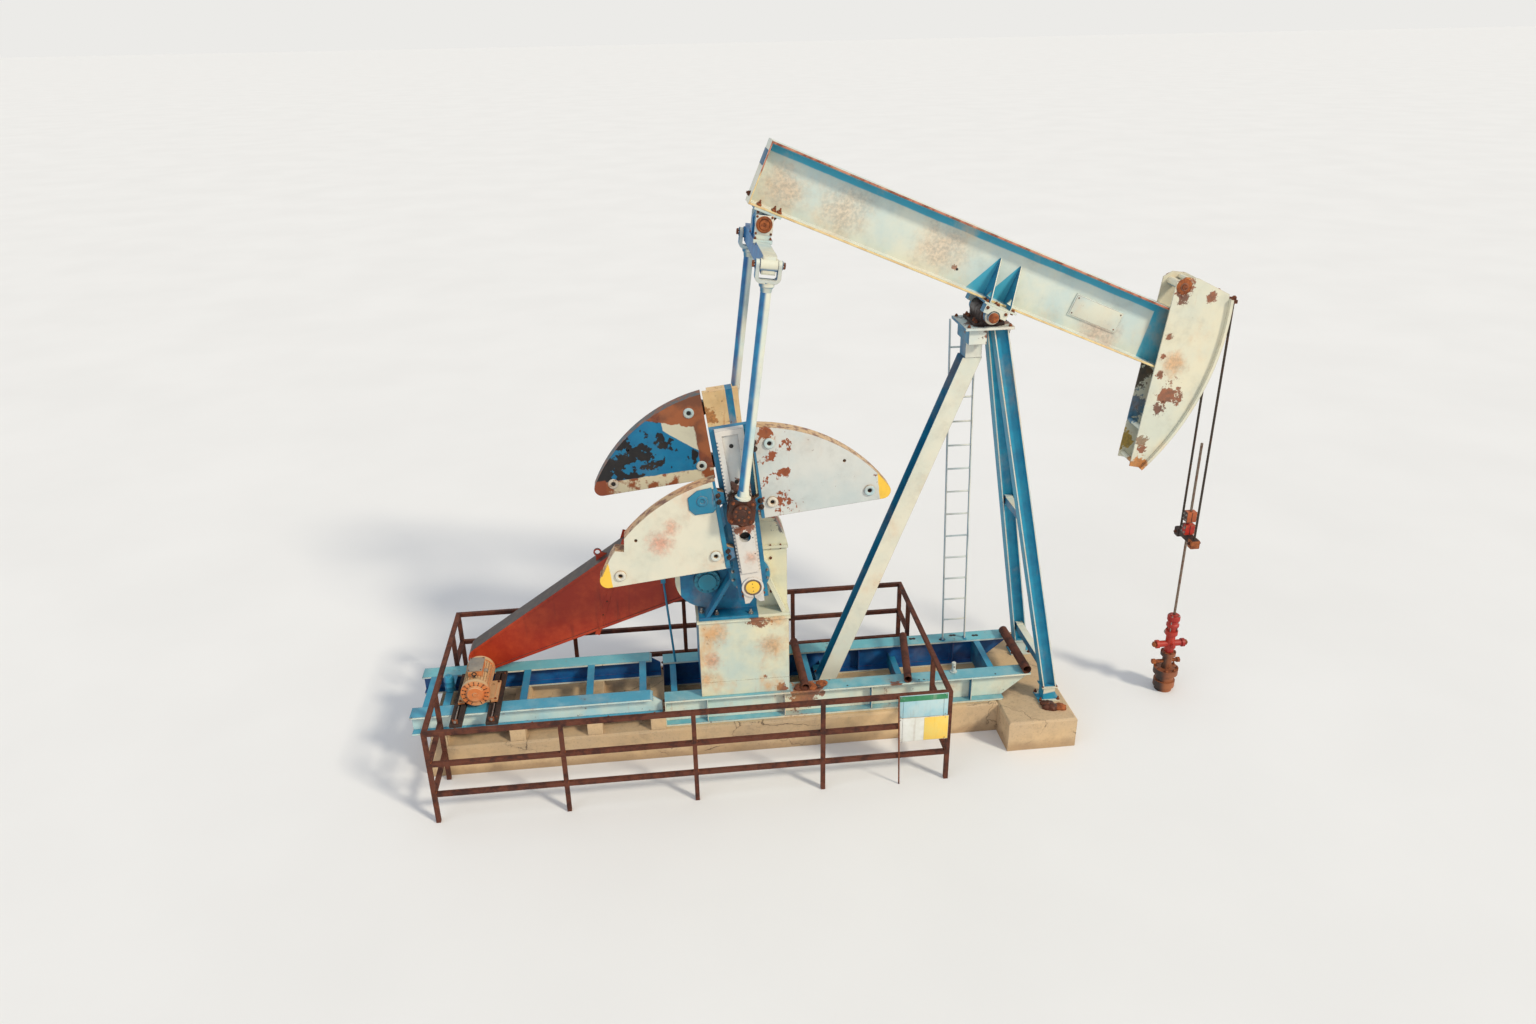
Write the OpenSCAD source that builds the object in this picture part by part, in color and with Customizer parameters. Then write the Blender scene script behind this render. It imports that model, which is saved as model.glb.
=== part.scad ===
// Beam pumping unit on a concrete block, standing over its wellhead.
// Millimetres. X runs from the motor to the well, Y away from the viewer, Z up.
// The origin is on the ground, straight under the saddle bearing.

/* [Foundation] */
// Rear end of the long concrete block
found_rear = -6575; // [-7000:5:-6200]
// Front end of the long concrete block
found_front = 330; // [200:5:500]
// Half width of the long concrete block
found_half = 600; // [560:5:700]
// Height of the concrete
found_h = 400; // [300:10:430]
// Length along X of the front footing
footing_len = 850; // [800:10:1200]
// Half width of the front footing
footing_half = 1040; // [800:10:1300]
// Chamfer along the concrete's upper edges
concrete_chamfer = 20; // [5:1:40]

/* [Main skid] */
// Rear end of the main skid beams
skid_rear = -3770; // [-3900:5:-3600]
// Front end of the main skid beams, along their top
skid_front = 740; // [680:5:800]
// Distance from the middle plane to each skid beam's web
skid_y = 430; // [400:5:430]
// Depth of the main skid beams
skid_depth = 360; // [320:5:400]
// Flange width of every skid beam
skid_flange_w = 210; // [180:5:215]
// Flange thickness of every skid beam
skid_flange_t = 24; // [16:1:30]
// Web thickness of every skid beam
skid_web_t = 15; // [10:1:25]
// Length of the raked nose under the front end
skid_nose = 350; // [200:10:450]

/* [Motor skid] */
// Rear end of the motor skid
rear_skid_rear = -6740; // [-6900:5:-6600]
// Depth of the motor skid's beams
rear_skid_depth = 250; // [220:5:290]
// Height of the sleepers under the motor skid
sleeper_h = 160; // [100:5:200]
// Width along X of a sleeper
sleeper_w = 180; // [120:5:240]
// Distance between two sleepers
sleeper_step = 910; // [800:5:1000]

/* [Reducer and pedestal] */
// Distance of the pedestal's rear face behind the crankshaft
ped_back = 620; // [600:5:660]
// Length of the pedestal
ped_len = 1060; // [1020:5:1100]
// Half width of the pedestal
ped_half = 480; // [440:5:495]
// Height of the pedestal below its top plate
ped_h = 1000; // [950:5:1010]
// Wall thickness of the pedestal
ped_wall = 20; // [10:1:30]
// Thickness of the pedestal's top plate
ped_plate_t = 30; // [20:1:40]
// Half width of the gear case
case_half = 270; // [220:5:285]
// Height of the gear case above its feet
case_h = 1200; // [1120:5:1220]
// Distance of the input shaft behind the crankshaft
input_back = 490; // [470:5:510]
// Depth of the input shaft below the crankshaft
input_drop = 125; // [100:5:130]
// Radius of the rounded input end of the gear case
case_end_r = 370; // [330:5:380]

/* [Motor and belt guard] */
// Distance between the motor's shaft and the input shaft, along X
motor_back = 2775; // [2700:5:2800]
// Outer radius of the motor
motor_r = 168; // [150:1:180]
// Length of the motor
motor_len = 600; // [520:5:620]
// Distance from the motor's shaft to the middle of a slide rail
rail_pitch = 205; // [190:5:240]
// Width of a slide rail
slide_w = 140; // [100:5:160]
// Overhang of the slide rails past the near skid beam
slide_reach = 265; // [100:5:300]
// Radius of the belt guard round the motor's sheave
guard_r_motor = 178; // [172:1:184]
// Radius of the belt guard's lower part round the input sheave
guard_r_low = 420; // [400:5:425]
// Radius of the belt guard's upper part
guard_r_high = 300; // [260:5:310]

/* [Cranks] */
// Crankshaft's distance behind the saddle bearing
shaft_x = -2700; // [-2720:5:-2680]
// Crankshaft's height over the ground
shaft_z = 2360; // [2350:5:2400]
// Radius of the crankshaft
shaft_r = 100; // [80:1:110]
// Lean of the cranks back from upright
crank_lean = 6.3; // [6.3:0.1:6.3]
// Reach of a crank's tip
crank_tip = 1895; // [1850:5:1920]
// Length of a crank past the crankshaft
crank_tail = 200; // [180:5:230]
// Half width of a crank at the crankshaft
crank_w_shaft = 170; // [160:1:190]
// Half width of a crank at its tip
crank_w_tip = 210; // [190:1:230]
// Inner face of a crank, from the middle plane
crank_in = 580; // [575:1:590]
// Thickness of a crank's flange
crank_flange_t = 80; // [60:1:100]
// Height of the toothed body that stands on the flange
crank_body_t = 120; // [90:1:120]
// Width of the ledge beside the toothed body
crank_ledge = 55; // [45:1:65]
// Pitch of the rack teeth along a crank
tooth_pitch = 42; // [36:1:60]
// Depth of the rack teeth
tooth_depth = 16; // [10:1:22]
// Throw from the crankshaft to the wrist pin
crank_throw = 1010; // [1010:1:1010]

/* [Counterweights] */
// Thickness of a counterweight
weight_t = 180; // [150:5:185]
// Outer radius of a counterweight's rim
weight_rim_r = 1900; // [1850:5:1910]
// Height of the rim's centre below a counterweight's flat edge
weight_drop = 820; // [780:5:860]
// Radius of a counterweight's tip
weight_tip_r = 90; // [60:5:120]
// Place along the crank of a weight that sits high
weight_high = 820; // [760:5:820]
// Place along the crank of a weight that sits low
weight_low = 280; // [240:5:330]
// Gap between a counterweight and its crank
weight_gap = 22; // [12:1:30]

/* [Samson post] */
// Height of the saddle bearing's axis
saddle_z = 5200; // [5200:5:5200]
// Height from the post's top plate to the saddle bearing's axis
saddle_rise = 120; // [116:1:140]
// Thickness of the post's top plate
cap_plate_t = 30; // [20:1:40]
// Height of the post's head, under the top plate
cap_h = 170; // [140:5:200]
// Height of the post's neck, between its head and the rear leg
neck_h = 180; // [140:5:220]
// Distance of the front legs' heads ahead of the saddle bearing
leg_head_x = 138; // [120:1:160]
// Distance of the front legs' heads from the middle plane
leg_head_y = 135; // [120:1:150]
// Distance of the front legs' feet ahead of the saddle bearing
front_foot_x = 960; // [900:5:1000]
// Distance of the front legs' feet from the middle plane
front_foot_y = 550; // [500:5:600]
// Height of the front legs' foot boxes
foot_h = 200; // [150:5:240]
// Distance of the rear leg's foot from the saddle bearing
rear_foot_x = -1750; // [-1800:5:-1700]
// Depth of a front leg's section
leg_depth = 160; // [150:5:200]
// Flange width of a front leg's section
leg_flange_w = 150; // [120:5:160]
// Side of the rear leg's section
rear_leg_w = 205; // [160:5:220]
// Flange and web thickness of a leg
leg_t = 14; // [10:1:20]
// Height of the lower tie between the front legs
low_tie_z = 820; // [740:5:900]
// Height of the upper tie between the front legs
high_tie_z = 2750; // [2400:10:3000]

/* [Walking beam] */
// Pitch of the beam at rest, with its head down
beam_pitch = 23.2; // [23.2:0.1:23.2]
// Overhang of the beam past its tail bearing
tail_overhang = 208; // [190:1:300]
// Head end of the beam, from the saddle bearing
beam_head = 2200; // [2100:5:2250]
// Depth of the beam
beam_depth = 660; // [600:5:700]
// Height of the beam's underside over the bearing's axis
beam_rise = 125; // [120:1:140]
// Flange width of the beam
beam_flange_w = 300; // [260:5:305]
// Flange thickness of the beam
beam_flange_t = 25; // [18:1:32]
// Web thickness of the beam
beam_web_t = 16; // [10:1:24]
// Distance from the saddle bearing to the tail bearing
tail_reach = 2652; // [2652:1:2652]

/* [Horse head] */
// Radius of the rope tracks about the saddle bearing
head_r = 2770; // [2770:1:2770]
// Distance between the middle plane and a side plate's outer face
head_half = 172; // [168:1:178]
// Thickness of the head's plates
head_plate_t = 14; // [8:1:16]
// Half width of the curved front plate
head_face_half = 215; // [205:1:230]
// Height of the rope tracks over the front plate
track_h = 20; // [18:1:26]

/* [Pitmans and equalizer] */
// Distance of the pitmans from the middle plane
pitman_y = 880; // [875:1:890]
// Outer radius of a pitman tube
pitman_r = 55; // [45:1:60]
// Depth of the equalizer beam
equalizer_h = 210; // [160:5:230]
// Width of the equalizer beam
equalizer_w = 140; // [120:5:160]
// Outer width of a yoke
yoke_w = 260; // [250:2:280]
// Thickness of a yoke's bar
yoke_t = 38; // [30:1:40]
// Depth of a yoke below its cross pin
yoke_h = 180; // [175:5:220]
// Side of the wrist bearing's housing
wrist_size = 290; // [260:5:300]

/* [Well end] */
// Radius of a bridle rope
rope_r = 15; // [12:0.5:16]
// Distance of the ropes from the middle plane
rope_y = 180; // [175:1:185]
// Height of the carrier bar's underside
carrier_z = 2205; // [2150:5:2300]
// Radius of the polished rod
rod_r = 16; // [14:0.5:16]
// Height of the polished rod's upper end
rod_top = 3470; // [3300:10:3500]
// Outer radius of the casing
casing_r = 110; // [90:1:130]
// Height of the stuffing box's top
stuffing_top = 1120; // [1050:5:1180]

/* [Railing and ladder] */
// Height of the railing
rail_h = 1220; // [1000:5:1250]
// Half of the railing tube's side
rail_half = 25; // [15:1:30]
// Line of the near railing
rail_near_y = -1420; // [-1500:5:-1300]
// Line of the far railing
rail_far_y = 1160; // [1100:5:1300]
// Rear line of the railing
rail_rear_x = -6370; // [-6500:5:-6300]
// Length of one bay of the railing
rail_bay = 1457; // [1400:1:1470]
// Spacing of the ladder's rungs
rung_step = 305; // [280:1:320]
// Clear width of the ladder
ladder_w = 290; // [260:5:360]

/* [Hidden] */
$fn = 48;

// Reach of a cutting block, past every piece
far_out = 20000;
// Radial clearance of a shaft in its bore
run_fit = 0.05;
// Gap at which a piece lies on the one that carries it
seat = 0.3;
// Paints
pale_blue = [0.66, 0.76, 0.74];
deep_blue = [0.13, 0.45, 0.58];
rust = [0.42, 0.22, 0.13];
concrete_tan = [0.72, 0.62, 0.48];
guard_red = [0.50, 0.12, 0.07];

// Main skid
skid_top = found_h + skid_depth;
skid_inner = skid_y - skid_flange_w / 2;
skid_outer = skid_y + skid_flange_w / 2;

// Motor skid
rear_skid_front = skid_rear - 30;
rear_skid_bottom = found_h + sleeper_h;
rear_skid_top = rear_skid_bottom + rear_skid_depth;

// Pedestal and gear case
ped_rear = shaft_x - ped_back;
ped_front = ped_rear + ped_len;
ped_top = skid_top + ped_h + ped_plate_t;
case_front = ped_front + 10;
case_top = ped_top + case_h;
case_foot_t = 40;
input_x = shaft_x - input_back;
input_z = shaft_z - input_drop;
input_r = 45;

// Motor
motor_x = input_x - motor_back;
motor_rail_h = 40;
motor_foot_t = 15;
motor_z = rear_skid_top + motor_rail_h + motor_foot_t + motor_r;
motor_near = -480;
motor_far = motor_near + motor_len;

// Belt guard, as circles of its outline in X and Z with their radii
guard_near = 300;
guard_far = 550;
guard_band = 12;
guard_circles = [[motor_x, motor_z, guard_r_motor], [input_x - 60, input_z - 35, guard_r_low],
    [input_x - 91, input_z + 444, guard_r_high]];

// Cranks
crank_out = crank_in + crank_flange_t + crank_body_t;
crank_face = crank_in + crank_flange_t;
wrist_hole_r = 62;
wrist_holes = [crank_throw, crank_throw - 185, crank_throw - 370];

// Counterweights
weight_in = crank_in - 5;
weight_boss_h = 15;
weight_boss_r = 62;

// Samson post
cap_top = saddle_z - saddle_rise;
cap_under = cap_top - cap_plate_t;
cap_bottom = cap_under - cap_h;
cap_rear = -220;
cap_front = -20;
cap_half = 230;
cap_plate_half = 290;
neck_half = 110;
foot_top = found_h + foot_h;
leg_foot = [front_foot_x, front_foot_y, foot_top];
leg_head = [leg_head_x, leg_head_y, cap_under];
housing_r = beam_rise - 27;
trunnion_r = 60;

// Walking beam
beam_tail = -tail_reach - tail_overhang;
saddle_plate_t = 20;
saddle_plate_half = 300;
tail_pin_r = 50;
tail_at = [-tail_reach * cos(beam_pitch), 0, saddle_z + tail_reach * sin(beam_pitch)];
wrist_at = [shaft_x - crank_throw * sin(crank_lean), 0, shaft_z + crank_throw * cos(crank_lean)];
pitman_len = norm(wrist_at - tail_at);

// Height of the equalizer's cross pins, from the tail bearing
yoke_z = -270;

// Horse head, in the beam's own frame
face_r = head_r - track_h;
head_top_angle = 24;
head_tip_angle = -21.4;
// Shares of the face's radius at which the head's rear corners, bars and pin lie
head_toe = [0.884, -0.371];
head_crown = [[0.898, 0.424], [0.745, 0.433], [0.691, 0.418], [0.665, 0.385]];
head_bars = [[0.895, -0.349], [0.847, -0.204], [0.887, 0.400], [0.731, 0.411]];
head_pin = [0.702, 0.382];
head_lug = 0.8;

// Well end
well_x = head_r + rope_r + seat;
carrier_h = 70;

// Points along an arc about c, from angle a0 to angle a1
function arc(c, r, a0, a1, n) =
    [for (i = [0:n]) c + r * [cos(a0 + (a1 - a0) * i / n), sin(a0 + (a1 - a0) * i / n)]];

// Direction of the outward normal of the line that runs round circles a and b, given as [x, z, r]
function outer_normal(a, b) =
    let (d = [b[0] - a[0], b[1] - a[1]])
    atan2(d[1], d[0]) - acos((a[2] - b[2]) / norm(d));

// Outline of a sheet wrapped round circles, which are given counterclockwise
function wrap(circles, n) =
    let (count = len(circles))
    [for (i = [0:count - 1])
        let (c = circles[i], from = outer_normal(circles[(i + count - 1) % count], c),
            to = outer_normal(c, circles[(i + 1) % count]))
        each arc([c[0], c[1]], c[2], from, to < from ? to + 360 : to, n)];

// Half width of a crank at the distance v from the crankshaft
function crank_half(v) = crank_w_shaft + (crank_w_tip - crank_w_shaft) * v / crank_tip;

// Extrudes an outline drawn in X and Z across Y, from y0 to y1
module across(y0, y1) {
    translate([0, y1, 0])
        rotate([90, 0, 0])
            linear_extrude(y1 - y0)
                children();
}

// Extrudes an outline drawn in Y and Z along X, from x0 to x1
module along(x0, x1) {
    translate([x0, 0, 0])
        rotate([90, 0, 90])
            linear_extrude(x1 - x0)
                children();
}

// Box between two corners
module block(low, high) {
    translate(low)
        cube(high - low);
}

// Round bar along Y
module bar_y(x, z, r, y0, y1) {
    translate([x, y1, z])
        rotate([90, 0, 0])
            cylinder(h = y1 - y0, r = r);
}

// Round bar along X
module bar_x(y, z, r, x0, x1) {
    translate([x0, y, z])
        rotate([0, 90, 0])
            cylinder(h = x1 - x0, r = r);
}

// Whatever is drawn, and its mirror image on the far side
module both_sides() {
    children();
    mirror([0, 1, 0])
        children();
}

// Carries an outline along the line from a to b, with its own x kept in the XZ plane
module strut(a, b) {
    d = b - a;
    translate(a)
        rotate([-asin(d[1] / norm(d)), atan2(d[0], d[2]), 0])
            linear_extrude(norm(d))
                children();
}

// Keeps what lies between two heights
module between(z0, z1) {
    intersection() {
        children();
        block([-far_out, -far_out, z0], [far_out, far_out, z1]);
    }
}

// Rolled section: flanges of width w, depth h from its underside up
module i_section(w, h, flange_t, web_t) {
    translate([-w / 2, 0])
        square([w, flange_t]);
    translate([-w / 2, h - flange_t])
        square([w, flange_t]);
    translate([-web_t / 2, 0])
        square([web_t, h]);
}

// Round steel tube's section
module ring(r, wall) {
    difference() {
        circle(r);
        circle(r - wall);
    }
}

// Concrete block with chamfered upper edges
module concrete(low, high) {
    c = concrete_chamfer;
    hull() {
        block(low, [high[0], high[1], high[2] - c]);
        block([low[0] + c, low[1] + c, high[2] - c], [high[0] - c, high[1] - c, high[2]]);
    }
}

module foundation() {
    color(concrete_tan)
        concrete([found_rear, -found_half, 0], [found_front, found_half, found_h]);
}

module front_footing() {
    color(concrete_tan)
        concrete([found_front, -footing_half, 0],
            [found_front + footing_len, footing_half, found_h]);
}

// Main skid beam at the distance y from the middle plane, with a raked nose
module skid_beam(y) {
    stiffeners = [ped_rear + 60, ped_front - 60, rear_foot_x + 500, 0];
    difference() {
        union() {
            along(skid_rear, skid_front)
                translate([y, found_h])
                    i_section(skid_flange_w, skid_depth, skid_flange_t, skid_web_t);
            for (x = stiffeners)
                block([x - 6, y - skid_flange_w / 2 + 8, found_h],
                    [x + 6, y + skid_flange_w / 2 - 8, skid_top]);
            block([skid_rear, y - skid_flange_w / 2, found_h],
                [skid_rear + 12, y + skid_flange_w / 2, skid_top]);
        }
        across(-far_out, far_out)
            polygon([[skid_front - skid_nose, found_h - 1], [skid_front + 1, found_h - 1],
                [skid_front + 1, skid_top - 70]]);
    }
}

module skid_beam_near() {
    color(pale_blue)
        skid_beam(-skid_y);
}

module skid_beam_far() {
    color(deep_blue)
        skid_beam(skid_y);
}

// Cross channels between the webs of the main skid
module skid_crossmembers() {
    reach = skid_y - skid_web_t / 2;
    low = found_h + skid_flange_t;
    tall = [[skid_rear + 90, skid_top - skid_flange_t], [ped_front + 250, skid_top - skid_flange_t],
        [-850, skid_top - 160], [skid_front - skid_nose - 120, skid_top - skid_flange_t]];
    color(deep_blue) {
        for (place = tall) {
            block([place[0] - 6, -reach, low], [place[0] + 6, reach, place[1]]);
            block([place[0] - 6, -skid_inner, place[1] - 12], [place[0] + 70, skid_inner, place[1]]);
            block([place[0] - 6, -skid_inner, low], [place[0] + 70, skid_inner, low + 12]);
        }
        block([rear_foot_x - 110, -skid_inner, found_h], [rear_foot_x + 110, skid_inner, low + 12]);
        block([rear_foot_x - 110, -skid_inner, found_h + sleeper_h - 16],
            [rear_foot_x + 110, skid_inner, found_h + sleeper_h]);
        block([rear_foot_x - 8, -reach, low], [rear_foot_x + 8, reach, found_h + sleeper_h]);
    }
}

// Beam of the motor skid at the distance y from the middle plane, cut down at the front
module rear_skid_beam(y) {
    difference() {
        along(rear_skid_rear, rear_skid_front)
            translate([y, rear_skid_bottom])
                i_section(skid_flange_w, rear_skid_depth, skid_flange_t, skid_web_t);
        across(-far_out, far_out)
            polygon([[rear_skid_front + 1, rear_skid_top - 100], [rear_skid_front + 1, rear_skid_top + 1],
                [rear_skid_front - 140, rear_skid_top + 1]]);
    }
}

module rear_skid_near() {
    color(pale_blue)
        rear_skid_beam(-skid_y);
}

module rear_skid_far() {
    color(pale_blue)
        rear_skid_beam(skid_y);
}

// Cross channels between the webs of the motor skid
module rear_skid_crossmembers() {
    places = [rear_skid_rear + 120, motor_x - 420, motor_x + 480, -4700, rear_skid_front - 260];
    reach = skid_y - skid_web_t / 2;
    color(pale_blue)
        for (x = places) {
            block([x - 6, -reach, rear_skid_bottom + 60], [x + 6, reach, rear_skid_top - skid_flange_t]);
            block([x - 6, -skid_inner, rear_skid_top - skid_flange_t], [x + 6, skid_inner, rear_skid_top]);
            block([x - 6, -skid_inner, rear_skid_top - 12], [x + 80, skid_inner, rear_skid_top]);
        }
}

// Timber-like steel sleepers between the concrete and the motor skid
module rear_sleepers() {
    first = found_rear + 140;
    color(deep_blue)
        for (x = [first, first + sleeper_step, first + 2 * sleeper_step, rear_skid_front - 60])
            block([x - sleeper_w / 2, -found_half + 20, found_h],
                [x + sleeper_w / 2, found_half - 20, rear_skid_bottom]);
}

// Fabricated box under the gear reducer, open below, with a web across its middle
module pedestal() {
    cell = (ped_len - 3 * ped_wall) / 2;
    color(pale_blue) {
        difference() {
            union() {
                block([ped_rear, -ped_half, skid_top], [ped_front, ped_half, skid_top + ped_h]);
                block([ped_rear, -ped_half - 6, skid_top], [ped_front, ped_half + 6, skid_top + 190]);
            }
            for (rear = [ped_rear + ped_wall, ped_rear + ped_wall + cell + ped_wall])
                block([rear, -ped_half + ped_wall, skid_top - 1],
                    [rear + cell, ped_half - ped_wall, skid_top + ped_h]);
        }
        block([ped_rear - 20, -ped_half - 15, skid_top + ped_h], [ped_front + 20, ped_half + 15, ped_top]);
    }
}

// Side view of the gear case: upright housing with a rounded input end
module case_outline() {
    polygon(concat([[case_front, ped_top], [case_front, case_top - 309], [case_front - 110, case_top - 82],
            [case_front - 327, case_top - 36], [case_front - 400, case_top], [shaft_x - 180, case_top]],
        arc([input_x, input_z], case_end_r, 100, 262, 18), [[input_x + 60, ped_top]]));
}

// Gear case with its feet, bearing housings and ribs; the crankshaft runs through it
module reducer_case() {
    flange_z = shaft_z + 250;
    color(pale_blue)
        difference() {
            union() {
                across(-case_half, case_half)
                    case_outline();
                block([ped_rear + 10, -ped_half + 10, ped_top],
                    [ped_front + 15, ped_half - 10, ped_top + case_foot_t]);
                across(-case_half - 30, case_half + 12)
                    polygon([[shaft_x - 520, flange_z - 18], [case_front + 12, flange_z - 18],
                        [case_front + 12, flange_z + 18], [shaft_x - 520, flange_z + 18]]);
                bar_y(shaft_x, shaft_z, 240, -450, -case_half);
                bar_y(shaft_x, shaft_z, 135, case_half, 450);
                for (foot = [[ped_rear + 90, -150], [case_front - 45, 150]])
                    across(-450, -case_half)
                        polygon([[foot[0] - 25, ped_top], [foot[0] + 25, ped_top],
                            [shaft_x + foot[1] + 25, shaft_z + 60], [shaft_x + foot[1] - 25, shaft_z + 60]]);
                across(case_half, 450)
                    polygon([[case_front - 60, ped_top], [case_front - 10, ped_top],
                        [shaft_x + 110, shaft_z + 40], [shaft_x + 60, shaft_z + 40]]);
                block([shaft_x - 160, -130, case_top], [shaft_x + 40, 130, case_top + 25]);
                bar_y(input_x, input_z, input_r, case_half, guard_near);
            }
            bar_y(shaft_x, shaft_z, shaft_r + run_fit, -600, 600);
        }
}

// Round bolted cover on the near side of the input bearing
module input_cover() {
    bolts = 12;
    color(deep_blue) {
        bar_y(input_x, input_z, 150, -case_half - 60, -case_half);
        bar_y(input_x, input_z, 105, -case_half - 85, -case_half - 60);
        for (i = [0:bolts - 1])
            bar_y(input_x + 128 * cos(i * 360 / bolts), input_z + 128 * sin(i * 360 / bolts), 9,
                -case_half - 72, -case_half - 60);
    }
}

// Electric motor lying along Y, with ribs, end bells, feet and its shaft
module motor() {
    ribs = 28;
    body_r = motor_r - 18;
    color([0.72, 0.38, 0.16]) {
        bar_y(motor_x, motor_z, body_r, motor_near + 60, motor_far - 60);
        for (i = [0:ribs - 1])
            translate([motor_x, 0, motor_z])
                rotate([0, i * 360 / ribs, 0])
                    block([-3, motor_near + 75, body_r - 10], [3, motor_far - 75, motor_r - 4]);
        bar_y(motor_x, motor_z, motor_r, motor_near + 20, motor_near + 75);
        bar_y(motor_x, motor_z, motor_r, motor_far - 75, motor_far - 20);
        bar_y(motor_x, motor_z, 105, motor_near, motor_near + 20);
        bar_y(motor_x, motor_z, 80, motor_far - 20, motor_far);
        bar_y(motor_x, motor_z, 24, motor_far, guard_near);
        for (side = [-1, 1])
            block([motor_x + side * (rail_pitch - 15) - 40, motor_near + 90, motor_z - motor_r - motor_foot_t],
                [motor_x + side * (rail_pitch - 15) + 40, motor_far - 90, motor_z - motor_r + 10]);
        block([motor_x - rail_pitch + 15, motor_near + 110, motor_z - motor_r],
            [motor_x + rail_pitch - 15, motor_far - 110, motor_z - motor_r + 25]);
        block([motor_x - 120, motor_near + 110, motor_z - motor_r],
            [motor_x + 120, motor_far - 110, motor_z - 50]);
        block([motor_x - 80, motor_near + 170, motor_z + 60],
            [motor_x + 80, motor_far - 150, motor_z + motor_r + 45]);
    }
}

// Two slotted slide rails across the motor skid
module motor_rails() {
    near = -skid_outer - slide_reach;
    far = guard_near - guard_band - 8;
    color([0.12, 0.10, 0.10])
        for (side = [-1, 1])
            difference() {
                block([motor_x + side * rail_pitch - slide_w / 2, near, rear_skid_top],
                    [motor_x + side * rail_pitch + slide_w / 2, far, rear_skid_top + motor_rail_h]);
                block([motor_x + side * rail_pitch - 12, near + 40, rear_skid_top + 10],
                    [motor_x + side * rail_pitch + 12, far - 40, rear_skid_top + motor_rail_h + 1]);
            }
}

// Side view of the belt guard, drawn in by a margin and cut flat over the pedestal
module guard_outline(margin) {
    difference() {
        polygon(wrap([for (c = guard_circles) [c[0], c[1], c[2] - margin]], 16));
        translate([ped_rear - 30, 0])
            square([ped_len, ped_top + case_foot_t + 8 + margin]);
    }
}

// Sheet-steel belt guard from the motor up to the input shaft, with a lifting ring on its edge
module belt_guard() {
    high = guard_circles[2];
    color(guard_red) {
        across(guard_near, guard_far)
            guard_outline(0);
        for (y = [guard_near - guard_band, guard_far])
            across(y, y + guard_band)
                difference() {
                    guard_outline(0);
                    guard_outline(35);
                }
    }
    color(rust)
        across(guard_near + 100, guard_near + 120)
            translate([high[0], high[1]])
                rotate(outer_normal(high, guard_circles[0]))
                    translate([high[2], 1170])
                        difference() {
                            union() {
                                translate([80, 0])
                                    circle(48);
                                polygon([[-10, -90], [60, -40], [60, 40], [-10, 90]]);
                            }
                            translate([80, 0])
                                circle(30);
                        }
}

// Stay from the far skid beam to the guard's near face
module guard_stay() {
    foot = [ped_rear - 292, skid_inner + 20, skid_top];
    head = [ped_rear - 380, guard_near - 70, input_z - 235];
    color(deep_blue) {
        between(skid_top, head[2])
            strut(foot - (head - foot) * 0.05, head)
                circle(14);
        block([head[0] - 30, head[1] - 20, head[2] - 40], [head[0] + 30, guard_near, head[2] + 20]);
    }
}

// Front leg's section with its depth along x
module leg_section() {
    rotate(90)
        translate([0, -leg_depth / 2])
            i_section(leg_flange_w, leg_depth, leg_t, leg_t);
}

module rear_leg() {
    foot = [rear_foot_x, 0, found_h + sleeper_h];
    head = [cap_rear + 90, 0, cap_bottom - neck_h];
    step = (head - foot) * 0.05;
    color(pale_blue) {
        between(foot[2] + 20, head[2])
            strut(foot - step, head + step)
                translate([0, -rear_leg_w / 2])
                    i_section(rear_leg_w, rear_leg_w, leg_t, leg_t);
        block([foot[0] - 115, -150, foot[2]], [foot[0] + 115, 150, foot[2] + 20]);
    }
}

// Front leg on its foot box; side is -1 for the near one and 1 for the far one
module front_leg(side) {
    foot = [leg_foot[0], side * leg_foot[1], leg_foot[2]];
    head = [leg_head[0], side * leg_head[1], leg_head[2]];
    step = (head - foot) * 0.05;
    between(foot_top, cap_under)
        strut(foot - step, head + step)
            leg_section();
    block([foot[0] - 100, foot[1] - 90, foot_top - 20], [foot[0] + 100, foot[1] + 90, foot_top]);
    block([foot[0] - 75, foot[1] - 75, found_h + 25], [foot[0] + 75, foot[1] + 75, foot_top - 20]);
    block([foot[0] - 130, foot[1] - 115, found_h], [foot[0] + 130, foot[1] + 115, found_h + 25]);
}

module front_leg_near() {
    color(deep_blue)
        front_leg(-1);
}

module front_leg_far() {
    color(pale_blue)
        front_leg(1);
}

// Head of the post: box over the rear leg, its neck, top plate and gussets ahead of the front legs
module post_cap() {
    gusset_x = leg_head_x + leg_depth / 2 + 24;
    color(pale_blue) {
        block([cap_rear, -cap_half, cap_bottom], [cap_front, cap_half, cap_under]);
        block([cap_rear + 5, -neck_half, cap_bottom - neck_h], [cap_front - 10, neck_half, cap_bottom]);
        block([cap_rear - 60, -cap_plate_half, cap_under], [gusset_x + 22, cap_plate_half, cap_top]);
        both_sides()
            across(-leg_head_y - 60, -leg_head_y - 46)
                polygon([[gusset_x, cap_under - 70], [gusset_x + 20, cap_under], [gusset_x, cap_under]]);
    }
}

// Two horizontal ties between the front legs
module leg_braces() {
    slope = (leg_head - leg_foot) / (leg_head[2] - leg_foot[2]);
    color(deep_blue)
        for (z = [low_tie_z, high_tie_z]) {
            at = leg_foot + slope * (z - foot_top);
            tip = at[1] - leg_flange_w / 2 - 8;
            block([at[0] - 45, -tip, z - 45], [at[0] + 45, tip, z + 45]);
            both_sides()
                block([at[0] - 45, tip, z - 55],
                    [at[0] + 45, at[1] - leg_t / 2 - 3 * seat + 55 * slope[1], z + 55]);
        }
}

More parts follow.
